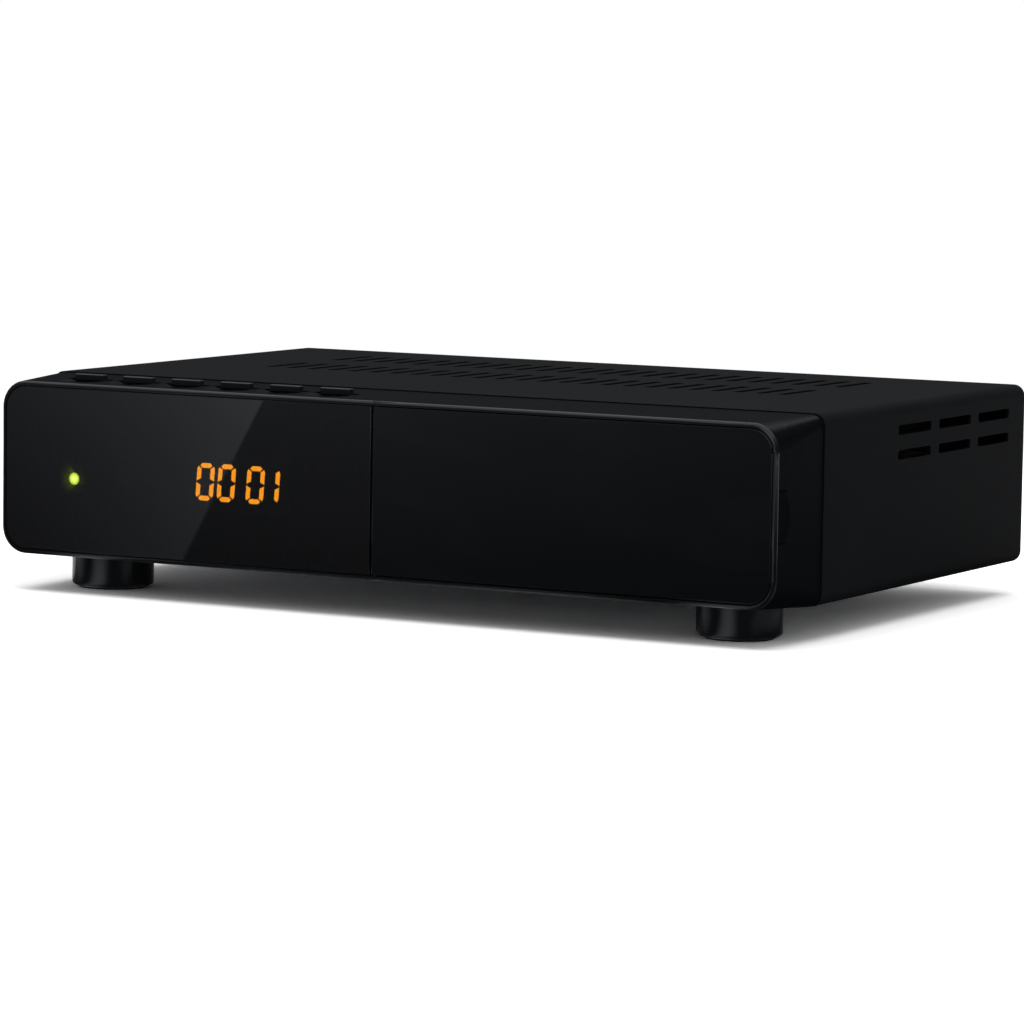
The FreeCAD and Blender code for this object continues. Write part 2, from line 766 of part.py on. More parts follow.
def board_bosses():
    """Hollow bosses for the front board's screws."""
    return [lying(x, z, boss_radius, window_seat + bezel_wall / 2, front_board_y)
            .cut(lying(x, z, screw_radius + screw_gap / 2, window_wall_back - bezel_wall / 4, bezel_depth))
            for x, z in board_places()]


def bezel_hooks():
    """Snap hooks that reach through the tray's front flange."""
    hooks = []
    low = cavity_low + hook_rise
    catch = tray_front + sheet + hook_gap / 2
    for x in hook_places():
        x0, x1 = x - hook_width / 2, x + hook_width / 2
        root = window_wall_back if x < seam_left else ledge_front + ledge_thickness
        arm = block(x0, x1, root - bezel_wall / 4, catch + hook_nose, low, low + hook_thickness)
        nose = block(x0, x1, catch, catch + hook_nose, low, low + hook_thickness + hook_nose)
        hooks.append(arm.fuse(nose))
    return hooks


def display_window():
    """Smoked acrylic window with a fine bevel round its front edge."""
    window = plate(window_left, seam_left, recess_low + plate_gap, recess_high - plate_gap,
                   (recess_round - plate_gap, 0, 0, recess_round - plate_gap),
                   plate_setback, window_seat)
    edges = [e for e in window.Edges if e.BoundBox.YMax < plate_setback + TOUCH]
    window = window.makeChamfer(window_edge_bevel, [e for e in edges if e.BoundBox.XMin < seam_left - TOUCH])
    seam = [e for e in window.Edges
            if e.BoundBox.YMax < plate_setback + TOUCH and e.BoundBox.XMin > seam_left - TOUCH]
    return window.makeChamfer(window_seam_bevel, seam)


# ---- Flap ------------------------------------------------------------------------------------
def flap_slab(inset, bevel, y0, y1):
    """The flap's outline between two depths, with a bevel round its front if one is given."""
    corner = recess_round - flap_gap - inset
    x0 = flap_left + inset
    slab = plate(x0, flap_right - inset, flap_low + inset, flap_high - inset,
                 (0, corner, corner, 0), y0, y1)
    if bevel:
        front = [e for e in slab.Edges if e.BoundBox.YMax < y0 + TOUCH and e.BoundBox.XMax > x0 + TOUCH]
        slab = slab.makeChamfer(bevel, front)
        seam = [e for e in slab.Edges if e.BoundBox.YMax < y0 + TOUCH and e.BoundBox.XMax < x0 + TOUCH]
        slab = slab.makeChamfer(flap_seam_bevel, seam)
    return slab


def hinge_pins(radius, extra):
    """Both hinge pins, or their sockets when made larger and longer."""
    reach = hinge_pin_reach + extra
    return [upright(hinge_x, hinge_depth, radius, recess_low - reach, flap_low + hinge_pin_root),
            upright(hinge_x, hinge_depth, radius, flap_high - hinge_pin_root, recess_high + reach)]


def flap_panel():
    """Gloss skin of the flap."""
    return flap_slab(0, window_edge_bevel, plate_setback, skin_back).cut(
        hinge_pins(hinge_pin_radius, 0))


def flap_carrier():
    """Moulded back of the flap with its two hinge pins and stiffening ribs."""
    carrier = flap_slab(flap_skin_overhang, 0, skin_back, flap_back)
    x0, x1 = hinge_x + flap_thickness, flap_right - recess_round
    z0, z1 = flap_low + flap_rib_border, flap_high - flap_rib_border
    floor = flap_back - flap_rib
    carrier = carrier.cut(block(x0, x1, floor, flap_back + ALONG, z0, z1))
    pitch = (x1 - x0) / (flap_rib_count + 1)
    middles = [x0 + pitch * (i + 1) for i in range(flap_rib_count)]
    ribs = [block(x - flap_rib / 2, x + flap_rib / 2, floor, flap_back, z0, z1) for x in middles]
    return carrier.fuse(ribs + hinge_pins(hinge_pin_radius, 0)).removeSplitter()


# ---- Keys and front board ----------------------------------------------------------------------
def key(x):
    """One push key: cap over a neck, low wings, trapped flange and stem."""
    w = key_width / 2
    key_back = key_front + key_length
    cap = block(x - w, x + w, key_front, key_back, key_top - key_cap_height, key_top)
    cap = cap.makeFillet(key_round, [e for e in cap.Edges if e.BoundBox.ZMin > key_top - TOUCH or (
        e.BoundBox.YMax < key_front + TOUCH and e.BoundBox.XMax - e.BoundBox.XMin < TOUCH)])
    neck = block(x - w, x + w, key_front + key_undercut, key_back,
                 key_flange_bottom, key_top - key_cap_height / 2)
    wings = block(x - w - key_wing_reach, x + w + key_wing_reach, wing_front, wing_back,
                  key_flange_bottom, key_surface - key_wing_drop)
    reach = key_pitch / 2 - key_gap
    flange = block(x - reach, x + reach, key_front - key_flange_margin, wing_back + key_flange_margin,
                   key_flange_bottom, key_flange_top)
    stem = block(x - key_stem / 2, x + key_stem / 2, plunger_y - key_stem / 2, plunger_y + key_stem / 2,
                 plunger_top, key_flange_bottom)
    return cap.fuse([neck, wings, flange, stem]).removeSplitter()


def plunger(x):
    """Plunger of the switch below one key."""
    return upright(x, plunger_y, plunger_radius, plunger_top - plunger_length, plunger_top)


def key_switches():
    """Tactile switch bodies on the rear of the front board."""
    bodies = []
    for x in key_xs:
        body = block(x - switch_width / 2, x + switch_width / 2, front_board_back,
                     front_board_back + switch_depth, switch_low, switch_top)
        deep = plunger_top - plunger_length - key_travel - plunger_gap
        bodies.append(body.cut(upright(x, plunger_y, plunger_radius + plunger_gap, deep, switch_top + 1)))
    return together(bodies)


def front_board():
    """Circuit board behind the window."""
    board = block(front_board_left, front_board_right, front_board_y, front_board_back,
                  front_board_bottom, switch_top)
    holes = [lying(x, z, screw_radius + screw_gap, 0, bezel_depth) for x, z in board_places()]
    return board.cut(holes)


def display_module():
    """Four-digit display block."""
    w, h = display_width / 2, display_height / 2
    return block(display_x - w, display_x + w, window_seat + display_face_gap + digit_depth,
                 front_board_y, display_z - h, display_z + h)


def digit_segments(lit, x):
    """Lit segments of one digit as thin plates; x is the digit's middle."""
    w, h, s, j = digit_width / 2, digit_height / 2, digit_stroke, digit_joint
    corner = s / 2

    def side(sign, up):
        inner, outer = sign * (w - s), sign * w
        return [(outer, up * j), (inner, up * (s / 2 + j)), (inner, up * (h - s - j)),
                (outer - sign * corner / 2, up * (h - corner - j)), (outer, up * (h - 2 * corner - j))]

    def bar(up):
        inset = corner + j
        return [(-w + inset, up * (h - corner)), (-w + 2 * corner + j, up * h), (w - 2 * corner - j, up * h),
                (w - inset, up * (h - corner)), (w - s - j, up * (h - s)), (-w + s + j, up * (h - s))]

    outlines = {"a": bar(1), "b": side(1, 1), "c": side(1, -1), "d": bar(-1),
                "e": side(-1, -1), "f": side(-1, 1)}
    back = window_seat + display_face_gap + digit_depth
    return [polygon_slab([(x + px + pz * digit_lean, display_z + pz) for px, pz in outlines[name]],
                         back - digit_depth, back) for name in lit]


def digit_places():
    """Middle of each digit along X."""
    first = display_x - digit_row_start
    second = first + digit_pitch
    third = second + digit_pair_pitch
    return (first, second, third, third + digit_last_pitch)


def display_digits():
    """The lit segments: two pairs of numerals, 00 01."""
    solids = []
    for lit, x in zip(("abcdef", "abcdef", "abcdef", "bc"), digit_places()):
        solids += digit_segments(lit, x)
    return together(solids)


def status_led():
    """Round lamp on the front board."""
    lens = lying(lamp_x, lamp_z, lamp_radius, window_seat + display_face_gap, front_board_y)
    collar = lying(lamp_x, lamp_z, lamp_radius + lamp_collar, window_wall_back + lamp_collar, front_board_y)
    return lens.fuse(collar)


def ir_receiver():
    """Infrared sensor with a domed lens."""
    s = sensor_radius
    body = block(sensor_x - s, sensor_x + s, window_wall_back + 1, front_board_y,
                 display_z - s, display_z + s)
    lens = lying(sensor_x, display_z, s - sensor_border, window_wall_back, window_wall_back + 2)
    return body.fuse(lens)


# ---- Boards and what is on them ------------------------------------------------------------------
def main_holes():
    """Screw places of the main board, (x, y)."""
    left, right = main_left + standoff_inset, main_right - standoff_inset
    front = board_front + standoff_inset
    return [(left, front), ((left + right) / 2, front), (right, front),
            (left, board_rear - rear_screw_setback),
            (right, board_rear - tuner_depth - tuner_screw_clear)]


def power_holes():
    """Screw places of the power board, (x, y)."""
    return [(x, y) for x in (power_left + standoff_inset, power_right - standoff_inset)
            for y in (power_board_front + standoff_inset, board_rear - standoff_inset)]


def circuit_board(x0, x1, y0, holes):
    """A board with its screw holes."""
    board = block(x0, x1, y0, board_rear, board_under, board_top)
    return board.cut([upright(x, y, screw_radius + screw_gap, board_under - 1, board_top + 1)
                      for x, y in holes])


def main_board():
    return circuit_board(main_left, main_right, board_front, main_holes())


def power_board():
    return circuit_board(power_left, power_right, power_board_front, power_holes())


def standoffs():
    """Pressed pillars under both boards."""
    return together([
        upright(x, y, standoff_radius, tray_floor, board_under)
        .cut(upright(x, y, screw_radius + screw_gap / 2, tray_floor + 1, board_under + 1))
        for x, y in main_holes() + power_holes()])


def board_screws():
    """Pan-head screws of the three boards."""
    screw = pan_screw(board_screw_length)
    flat = [placed(screw, x, y, board_top) for x, y in main_holes() + power_holes()]
    turned = [placed(screw, x, front_board_back, z, Vector(1, 0, 0), -90) for x, z in board_places()]
    return together(flat + turned)


def insulating_sheet():
    """Plastic sheet between the power board and the tray."""
    m = insulator_margin
    film = block(power_left - m, power_right + m, power_board_front - m, board_rear,
                 tray_floor, tray_floor + insulator_thickness)
    holes = [upright(x, y, standoff_radius + insulator_clear, tray_floor - 1, board_under)
             for x, y in power_holes()]
    holes += [upright(x, y, screw_radius + insulator_clear, tray_floor - 1, board_under)
              for x, y in foot_places]
    return film.cut(holes)


def tuner_can():
    """Screening can of the tuner."""
    x0, x1 = tuner_x - tuner_width / 2, tuner_x + tuner_width / 2
    y0, y1 = board_rear - tuner_depth, board_rear
    can = block(x0, x1, y0, y1, board_top, board_top + tuner_height)
    hollow = block(x0 + tuner_wall, x1 - tuner_wall, y0 + tuner_wall, y1 - tuner_wall,
                   board_top + tuner_wall, board_top + tuner_height - tuner_wall)
    return can.cut(hollow)


def aerial_connector(x):
    """Screw-on connector from the tuner can out through the rear wall; free thread past the nut."""
    thread_from = wall_back + aerial_nut_thickness
    shank = lying(x, aerial_z, aerial_pitch_radius, board_rear, thread_from)
    thread = lying(x, aerial_z, aerial_radius, thread_from, overall_depth)
    body = shank.fuse(thread.makeChamfer(aerial_lead_in, end_edges(thread, "Y")))
    return body.cut(lying(x, aerial_z, aerial_bore, overall_depth - aerial_bore_depth, overall_depth + 1))


def aerial_insulators():
    """White inserts of the aerial connectors."""
    back = overall_depth - aerial_bore_depth
    return together([
        lying(x, aerial_z, aerial_bore, back, overall_depth - aerial_insert_setback)
        .cut(lying(x, aerial_z, aerial_pin_hole, back + 1, overall_depth)) for x in aerial_xs])


def connector_nuts():
    """Hexagonal nuts that clamp the aerial connectors to the rear wall."""
    corner = aerial_nut_flats / math.sqrt(3)
    nuts = []
    for x in aerial_xs:
        points = [(x + corner * math.cos(math.radians(a)), aerial_z + corner * math.sin(math.radians(a)))
                  for a in range(0, 360, 360 // 6)]
        nut = polygon_slab(points, wall_back, wall_back + aerial_nut_thickness)
        nuts.append(nut.cut(lying(x, aerial_z, aerial_pitch_radius, wall_back - 1, wall_back + ALONG)))
    return together(nuts)


def shell(x, width, height, y0, y1, mouth):
    """Open metal shell of a flat socket; mouth is -1 towards the front and 1 towards the rear."""
    body = block(x - width / 2, x + width / 2, y0, y1, board_top, board_top + height)
    w = shell_wall
    inner0, inner1 = (y0 - 1, y1 - shell_floor) if mouth < 0 else (y0 + shell_floor, y1 + 1)
    return body.cut(block(x - width / 2 + w, x + width / 2 - w, inner0, inner1,
                          board_top + w, board_top + height - w))


def digital_video_socket():
    return shell(video_x, video_width, video_height, wall_back + video_reach - video_depth,
                 wall_back + video_reach, 1)


def data_socket():
    return shell(data_x, data_width, data_height, pocket_floor, pocket_floor + data_depth, -1)


def tongue(x, width, z, y0, y1):
    """One contact tongue."""
    w, t = width / 2 - tongue_side_gap, tongue_thickness / 2
    return block(x - w, x + w, y0, y1, z - t, z + t)


def socket_tongues():
    """Contact tongues inside the two flat sockets, standing on their closed ends."""
    video_end = wall_back + video_reach
    data_end = pocket_floor + data_depth
    return together([
        tongue(video_x, video_width, board_top + video_height / 2,
               video_end - video_depth + shell_floor, video_end - tongue_setback),
        tongue(data_x, data_width, board_top + data_height / 2 + data_tongue_rise,
               pocket_floor + tongue_setback, data_end - shell_floor)])


def audio_video_socket():
    """Audio-video socket: shrouded block with a groove for the plug's shell and contact slots."""
    x0, x1 = av_x - av_width / 2, av_x + av_width / 2
    z0, z1 = board_top, board_top + av_height
    end = wall_back + av_reach
    body = block(x0, x1, end - av_depth, end, z0, z1)
    i, g = av_groove_inset, av_groove

    def outline(inset, y0, y1):
        points = [(x0 + inset, z0 + inset), (x1 - inset, z0 + inset), (x1 - inset, z1 - inset - av_corner),
                  (x1 - inset - av_corner, z1 - inset), (x0 + inset, z1 - inset)]
        return polygon_slab(points, y0, y1)

    groove = outline(i, end - av_groove_depth, end + 1).cut(outline(i + g, 0, end + ALONG))
    start = x0 + 2 * (i + g)
    pitch = (x1 - av_corner - 2 * (i + g) - start) / av_contacts
    slots = []
    for row, height in enumerate(av_row_heights):
        for n in range(av_contacts):
            x = start + (n + (row + 1) / 2) * pitch
            slots.append(block(x - av_slot_width / 2, x + av_slot_width / 2,
                               end - av_groove_depth, end + 1,
                               z0 + height - av_slot_height / 2, z0 + height + av_slot_height / 2))
    return body.cut([groove] + slots)


def audio_jack():
    """Moulded body of the digital audio jack, with its collar and centre insulator."""
    body = block(audio_x - audio_width / 2, audio_x + audio_width / 2, wall_front - audio_depth,
                 wall_front, board_top, board_top + audio_body_height)
    collar = lying(audio_x, audio_z, audio_radius + audio_collar, wall_front, wall_back)
    core = lying(audio_x, audio_z, audio_bore, wall_back, wall_back + audio_reach - sheet)
    return body.fuse([collar, core]).cut(lying(audio_x, audio_z, audio_hole, wall_back, overall_depth))


def audio_jack_sleeve():
    """Plated outer contact of the digital audio jack, standing on its collar."""
    return lying(audio_x, audio_z, audio_radius, wall_back, wall_back + audio_reach).cut(
        lying(audio_x, audio_z, audio_bore, 0, overall_depth))


def mains_inlet():
    """Two-pin mains inlet with a figure-of-eight recess."""
    end = wall_back + inlet_reach
    body = block(inlet_x - inlet_width / 2, inlet_x + inlet_width / 2, end - inlet_depth, end,
                 inlet_z - inlet_height / 2, inlet_z + inlet_height / 2)
    waist = inlet_waist / 2
    s = inlet_pin_spacing / 2
    recess = [lying(inlet_x + k * s, inlet_z, inlet_lobe_radius, end - inlet_recess, end + 1)
              for k in (-1, 1)]
    recess.append(block(inlet_x - s, inlet_x + s, end - inlet_recess, end + 1,
                        inlet_z - waist, inlet_z + waist))
    return body.cut(recess)


def inlet_pins():
    """Round contact pins of the mains inlet."""
    start = wall_back + inlet_reach - inlet_recess
    pins = []
    for k in (-1, 1):
        pin = lying(inlet_x + k * inlet_pin_spacing / 2, inlet_z, inlet_pin_radius,
                    start, start + inlet_pin_length)
        pins.append(pin.makeFillet(inlet_pin_round, end_edges(pin, "Y")))
    return together(pins)


def on_main(x, y, width, depth, height):
    """A block that stands on a board, about its middle."""
    return block(x - width / 2, x + width / 2, y - depth / 2, y + depth / 2, board_top, board_top + height)


def decoder_chip():
    return on_main(chip_x, chip_y, chip_size, chip_size, chip_thickness)


def memory_chips():
    """Memory: two chips to the right of the decoder and one to the left."""
    x = (sink_size + memory_width) / 2 + memory_clear
    y = (memory_depth + memory_gap) / 2
    return together([on_main(chip_x + dx, chip_y + dy, memory_width, memory_depth, memory_thickness)
                     for dx, dy in ((x, -y), (x, y), (-x, 0))])


def decoder_heat_sink():
    """Finned aluminium block on the decoder chip."""
    s = sink_size / 2
    low = board_top + chip_thickness
    base = block(chip_x - s, chip_x + s, chip_y - s, chip_y + s, low, low + sink_base)
    step = (sink_size - sink_fin) / (sink_fin_count - 1)
    lefts = [chip_x - s + i * step for i in range(sink_fin_count)]
    fins = [block(x, x + sink_fin, chip_y - s, chip_y + s, low + sink_base, low + sink_height)
            for x in lefts]
    return base.fuse(fins).removeSplitter()


def main_capacitors():
    """Upright electrolytic capacitors along the main board's left side."""
    x, y = main_left + small_cap_inset, board_front + small_cap_setback
    return together([upright(x, y + i * small_cap_pitch, small_cap_radius, board_top,
                             board_top + small_cap_height) for i in range(small_cap_count)])


def power_coils():
    """Storage chokes: drums with a waist for the winding."""
    x = main_left + coil_inset
    coils = []
    for i in range(coil_count):
        y = board_front + coil_setback + i * coil_pitch
        drum = upright(x, y, coil_radius, board_top, board_top + coil_height)
        z0, z1 = board_top + coil_flange, board_top + coil_height - coil_flange
        waist = upright(x, y, coil_radius + 1, z0, z1)
        coils.append(drum.cut(waist.cut(upright(x, y, coil_radius - coil_groove, z0, z1))))
    return together(coils)


def mains_choke():
    """Line filter: a ferrite frame with its winding round the lower limb."""
    x, y = power_left + choke_inset, board_rear - choke_setback
    frame = on_main(x, y, choke_width, choke_depth, choke_height)
    low, high = board_top + choke_limb, board_top + choke_height - choke_limb
    w = choke_width / 2 - choke_limb
    window = block(x - w, x + w, y - choke_depth, y + choke_depth, low, high)
    winding = on_main(x, y, choke_winding, choke_depth, choke_height - choke_limb)
    return frame.cut(window).fuse(winding).removeSplitter()


def mains_fuse():
    """Glass fuse in its two clips."""
    x, y, z = power_right - fuse_inset, board_rear - choke_setback, board_top + fuse_rise
    fuse = lying(x, z, fuse_radius, y - fuse_length / 2, y + fuse_length / 2)
    middle = (fuse_length - fuse_clip_length) / 2 - fuse_clip_inset
    width = 2 * (fuse_radius + fuse_clip_wall)
    clips = [on_main(x, y + side * middle, width, fuse_clip_length, fuse_rise) for side in (-1, 1)]
    return fuse.fuse(clips)


def bulk_capacitor():
    """Large reservoir capacitor."""
    can = upright(power_left + bulk_inset, board_rear - bulk_setback, bulk_radius,
                  board_top, board_top + bulk_height)
    return can.makeFillet(bulk_edge, end_edges(can, "Z"))


def transformer():
    """Switching transformer: ferrite core round a taped winding, on its bobbin's base."""
    x, y = (power_left + power_right) / 2 + transformer_shift, board_rear - transformer_setback
    base = on_main(x, y, winding_width + core_border * 2, winding_depth + bobbin_margin * 2, bobbin_thickness)
    z0 = board_top + bobbin_thickness
    z1 = z0 + core_height
    core = block(x - core_width / 2, x + core_width / 2, y - core_depth / 2, y + core_depth / 2, z0, z1)
    winding = block(x - winding_width / 2, x + winding_width / 2, y - winding_depth / 2,
                    y + winding_depth / 2, z0 + core_border, z1 - core_border)
    return core.fuse([winding, base]).removeSplitter()


def power_heat_sink():
    """Aluminium plate with a turned-over top and its power transistor."""
    x, y = power_left + fin_inset, board_rear - fin_setback
    fin = on_main(x, y, fin_thickness, fin_length, fin_height)
    right, left = x + fin_thickness / 2, x - fin_thickness / 2
    high = board_top + fin_height
    foot = block(left - fin_foot, left, y - fin_length / 2, y + fin_length / 2, high - fin_thickness, high)
    low = board_top + transistor_rise
    transistor = block(right, right + transistor_thickness, y - transistor_width / 2,
                       y + transistor_width / 2, low, low + transistor_height)
    return fin.fuse([foot, transistor])


def output_capacitors():
    """Output smoothing capacitors."""
    x, y = power_left + output_cap_inset, power_board_front + output_cap_setback
    return together([upright(x + i * output_cap_pitch, y, output_cap_radius, board_top,
                             board_top + output_cap_height) for i in range(output_cap_count)])


def ribbon_cable():
    """Flat cable from the front board back and down to the main board."""
    start = front_board_back + header_depth
    bend_y = ribbon_y - ribbon_bend
    middle = ribbon_z - ribbon_bend
    end = board_top + header_height

    def side(offset):
        r = ribbon_bend + offset
        turn = r / math.sqrt(2)
        return [Vector(0, start, middle + r), Vector(0, bend_y, middle + r),
                Vector(0, bend_y + turn, middle + turn), Vector(0, bend_y + r, middle),
                Vector(0, bend_y + r, end)]

    a, b = side(-ribbon_thickness / 2), side(ribbon_thickness / 2)
    edges = [Part.LineSegment(a[0], a[1]).toShape(), Part.Arc(a[1], a[2], a[3]).toShape(),
             Part.LineSegment(a[3], a[4]).toShape(), Part.LineSegment(a[4], b[4]).toShape(),
             Part.LineSegment(b[4], b[3]).toShape(), Part.Arc(b[3], b[2], b[1]).toShape(),
             Part.LineSegment(b[1], b[0]).toShape(), Part.LineSegment(b[0], a[0]).toShape()]
    cable = Part.Face(Part.Wire(edges)).extrude(Vector(ribbon_width, 0, 0))
    cable.translate(Vector(ribbon_x - ribbon_width / 2, 0, 0))
    return cable


def board_headers():
    """Connectors at both ends of the flat cable and of the supply wires."""
    w, d = ribbon_width + 2 * header_margin, header_depth
    upper = block(ribbon_x - w / 2, ribbon_x + w / 2, front_board_back, front_board_back + header_depth,
                  ribbon_z - d / 2, ribbon_z + d / 2)
    span = (wire_count - 1) * wire_pitch + 2 * header_margin
    rest = [on_main(x, wire_y, 2 * header_margin, span, wire_header_height) for x in (wire_from, wire_to)]
    return together([upper, on_main(ribbon_x, ribbon_y, w, d, header_height)] + rest)


def supply_wires():
    """Supply wires that arch from the power board to the main board."""
    low = board_top + wire_header_height
    high = low + wire_lead
    radius = (wire_to - wire_from) / 2
    middle = (wire_to + wire_from) / 2
    wires = []
    for i in range(wire_count):
        y = wire_y + (i - (wire_count - 1) / 2) * wire_pitch
        arch = Part.makeTorus(radius, wire_radius, Vector(middle, y, high), Vector(0, 1, 0))
        upper_half = block(wire_from - wire_pitch, wire_to + wire_pitch, y - wire_pitch, y + wire_pitch,
                           high, high + radius + wire_pitch)
        leads = [upright(x, y, wire_radius, low, high) for x in (wire_from, wire_to)]
        wires.append(arch.common(upper_half).fuse(leads))
    return together(wires)


# ---- Feet and fasteners ----------------------------------------------------------------------------
def feet():
    """Round plastic feet with a boss that locates in the tray."""
    solids = []
    for x, y in foot_places:
        foot = upright(x, y, foot_radius, pad_proud, foot_height)
        foot = foot.makeFillet(foot_edge, [e for e in foot.Edges if e.BoundBox.ZMax < pad_proud + TOUCH])
        foot = foot.fuse(upright(x, y, foot_boss_radius, foot_height - 1, tray_bottom))
        foot = foot.cut([
            upright(x, y, screw_radius + screw_gap, 0, tray_floor),
            upright(x, y, screw_head_radius + head_clear, 0, foot_seat),
            upright(x, y, pad_radius, 0, pad_thickness).cut(upright(x, y, pad_bore, -1, pad_thickness + 1))])
        solids.append(foot.removeSplitter())
    return together(solids)


def foot_pads():
    """Soft rings under the feet."""
    return together([upright(x, y, pad_radius, 0, pad_thickness).cut(upright(x, y, pad_bore, -1, ALONG))
                     for x, y in foot_places])


def foot_screws():
    screw = pan_screw(tray_floor + foot_screw_end - foot_seat)
    return together([placed(screw, x, y, foot_seat, Vector(1, 0, 0), 180) for x, y in foot_places])


def cover_screws():
    screw = pan_screw(cover_screw_length)
    return together([placed(screw, x, case_depth, cover_screw_z, Vector(1, 0, 0), -90)
                     for x in cover_screw_xs])


# ---- Output ----------------------------------------------------------------------------------------
def build():
    """Every node's name and shape."""
    makers = [
        top_cover, base_tray, front_bezel, display_window, flap_panel, flap_carrier, key_switches,
        front_board, display_module, display_digits, status_led, ir_receiver, main_board, power_board,
        standoffs, board_screws, insulating_sheet, tuner_can, aerial_insulators, connector_nuts,
        digital_video_socket, data_socket, socket_tongues, audio_video_socket, audio_jack,
        audio_jack_sleeve, mains_inlet, inlet_pins, decoder_chip, memory_chips, decoder_heat_sink,
        main_capacitors, power_coils, mains_choke, mains_fuse, bulk_capacitor, transformer,
        power_heat_sink, output_capacitors, ribbon_cable, board_headers, supply_wires, feet,
        foot_pads, foot_screws, cover_screws]
    nodes = {maker.__name__: maker() for maker in makers}
    nodes["lnb_input_connector"] = aerial_connector(aerial_xs[0])
    nodes["lnb_loop_connector"] = aerial_connector(aerial_xs[1])
    for name, x in zip(key_names, key_xs):
        nodes[name + "_key"] = key(x)
        nodes[name + "_plunger"] = plunger(x)
    return nodes


def main():
    os.makedirs("parts", exist_ok=True)
    for name, shape in build().items():
        shape.translate(Vector(0, -overall_depth / 2, 0))
        shape.exportStep(f"parts/{name}.step")
        print(f"{name}: {len(shape.Solids)} solids, {shape.Volume:.1f} mm3, valid {shape.isValid()}")


main()
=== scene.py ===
import functools
import json
import math

import bmesh
import bpy
from bpy.props import FloatProperty, FloatVectorProperty, PointerProperty
from mathutils import Matrix, Vector


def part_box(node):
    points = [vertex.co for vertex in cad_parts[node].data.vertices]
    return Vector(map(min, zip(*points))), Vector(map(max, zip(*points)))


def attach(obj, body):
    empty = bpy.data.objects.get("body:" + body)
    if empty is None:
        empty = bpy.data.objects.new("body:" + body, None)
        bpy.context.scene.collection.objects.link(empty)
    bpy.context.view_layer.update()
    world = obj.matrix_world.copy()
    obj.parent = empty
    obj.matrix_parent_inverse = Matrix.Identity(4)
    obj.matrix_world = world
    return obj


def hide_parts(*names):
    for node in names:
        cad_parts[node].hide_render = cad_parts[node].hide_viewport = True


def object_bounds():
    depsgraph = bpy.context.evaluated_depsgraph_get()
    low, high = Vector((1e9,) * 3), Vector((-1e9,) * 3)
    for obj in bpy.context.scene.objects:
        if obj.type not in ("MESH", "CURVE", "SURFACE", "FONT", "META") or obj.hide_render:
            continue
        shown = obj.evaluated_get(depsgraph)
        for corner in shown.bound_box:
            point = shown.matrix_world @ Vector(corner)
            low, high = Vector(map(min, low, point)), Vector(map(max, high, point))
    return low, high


bl_info = {
    "name": "Satellite receiver",
    "version": (1, 0, 0),
    "blender": (4, 5, 0),
    "location": "3D View > Sidebar > Receiver",
    "description": "Finishes, small details and stage for a satellite receiver's packed parts",
    "category": "Object",
}

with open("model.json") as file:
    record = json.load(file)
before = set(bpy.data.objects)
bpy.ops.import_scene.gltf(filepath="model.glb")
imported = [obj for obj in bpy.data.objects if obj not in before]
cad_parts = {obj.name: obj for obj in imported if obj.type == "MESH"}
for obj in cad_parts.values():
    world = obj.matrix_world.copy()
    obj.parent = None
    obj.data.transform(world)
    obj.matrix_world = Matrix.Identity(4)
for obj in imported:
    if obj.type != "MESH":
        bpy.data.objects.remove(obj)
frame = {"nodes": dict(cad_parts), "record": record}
bpy.context.view_layer.update()
CAD_LOW, CAD_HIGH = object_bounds()
PARTS = frame["nodes"]
SLOT_OF = {part["node"]: part["material_slot"] for part in frame["record"]["subparts"]}
CHASSIS = "chassis"
KEYS = ("standby", "menu", "ok", "channel_down", "channel_up", "source")
MM = 0.001
TURN = 2 * math.pi
NEAR_AXIS = 0.0001 * MM         # where a spun outline meets its axis
SHARP_ANGLE = math.radians(35)  # corners of turned pieces that stay sharp
ONE_ROW = 1.0                   # a pitch longer than the receiver: one row of parts


# ---- Settings ----
def setting(kind=FloatProperty, convert=lambda value: value, **fixed):
    """A maker of settings of one kind, each with its name, description and default."""
    return lambda name, description, default: kind(
        name=name, description=description, default=convert(default), **fixed)


length = setting(min=0, unit="LENGTH")
colour = setting(FloatVectorProperty, subtype="COLOR", min=0, max=1)
share = setting(min=0, max=1, subtype="FACTOR")
angle = setting(convert=math.radians, subtype="ANGLE")
plain = setting(min=0)
power = setting(unit="POWER")
focal = setting(unit="CAMERA")
spot = setting(FloatVectorProperty, subtype="XYZ", unit="LENGTH")


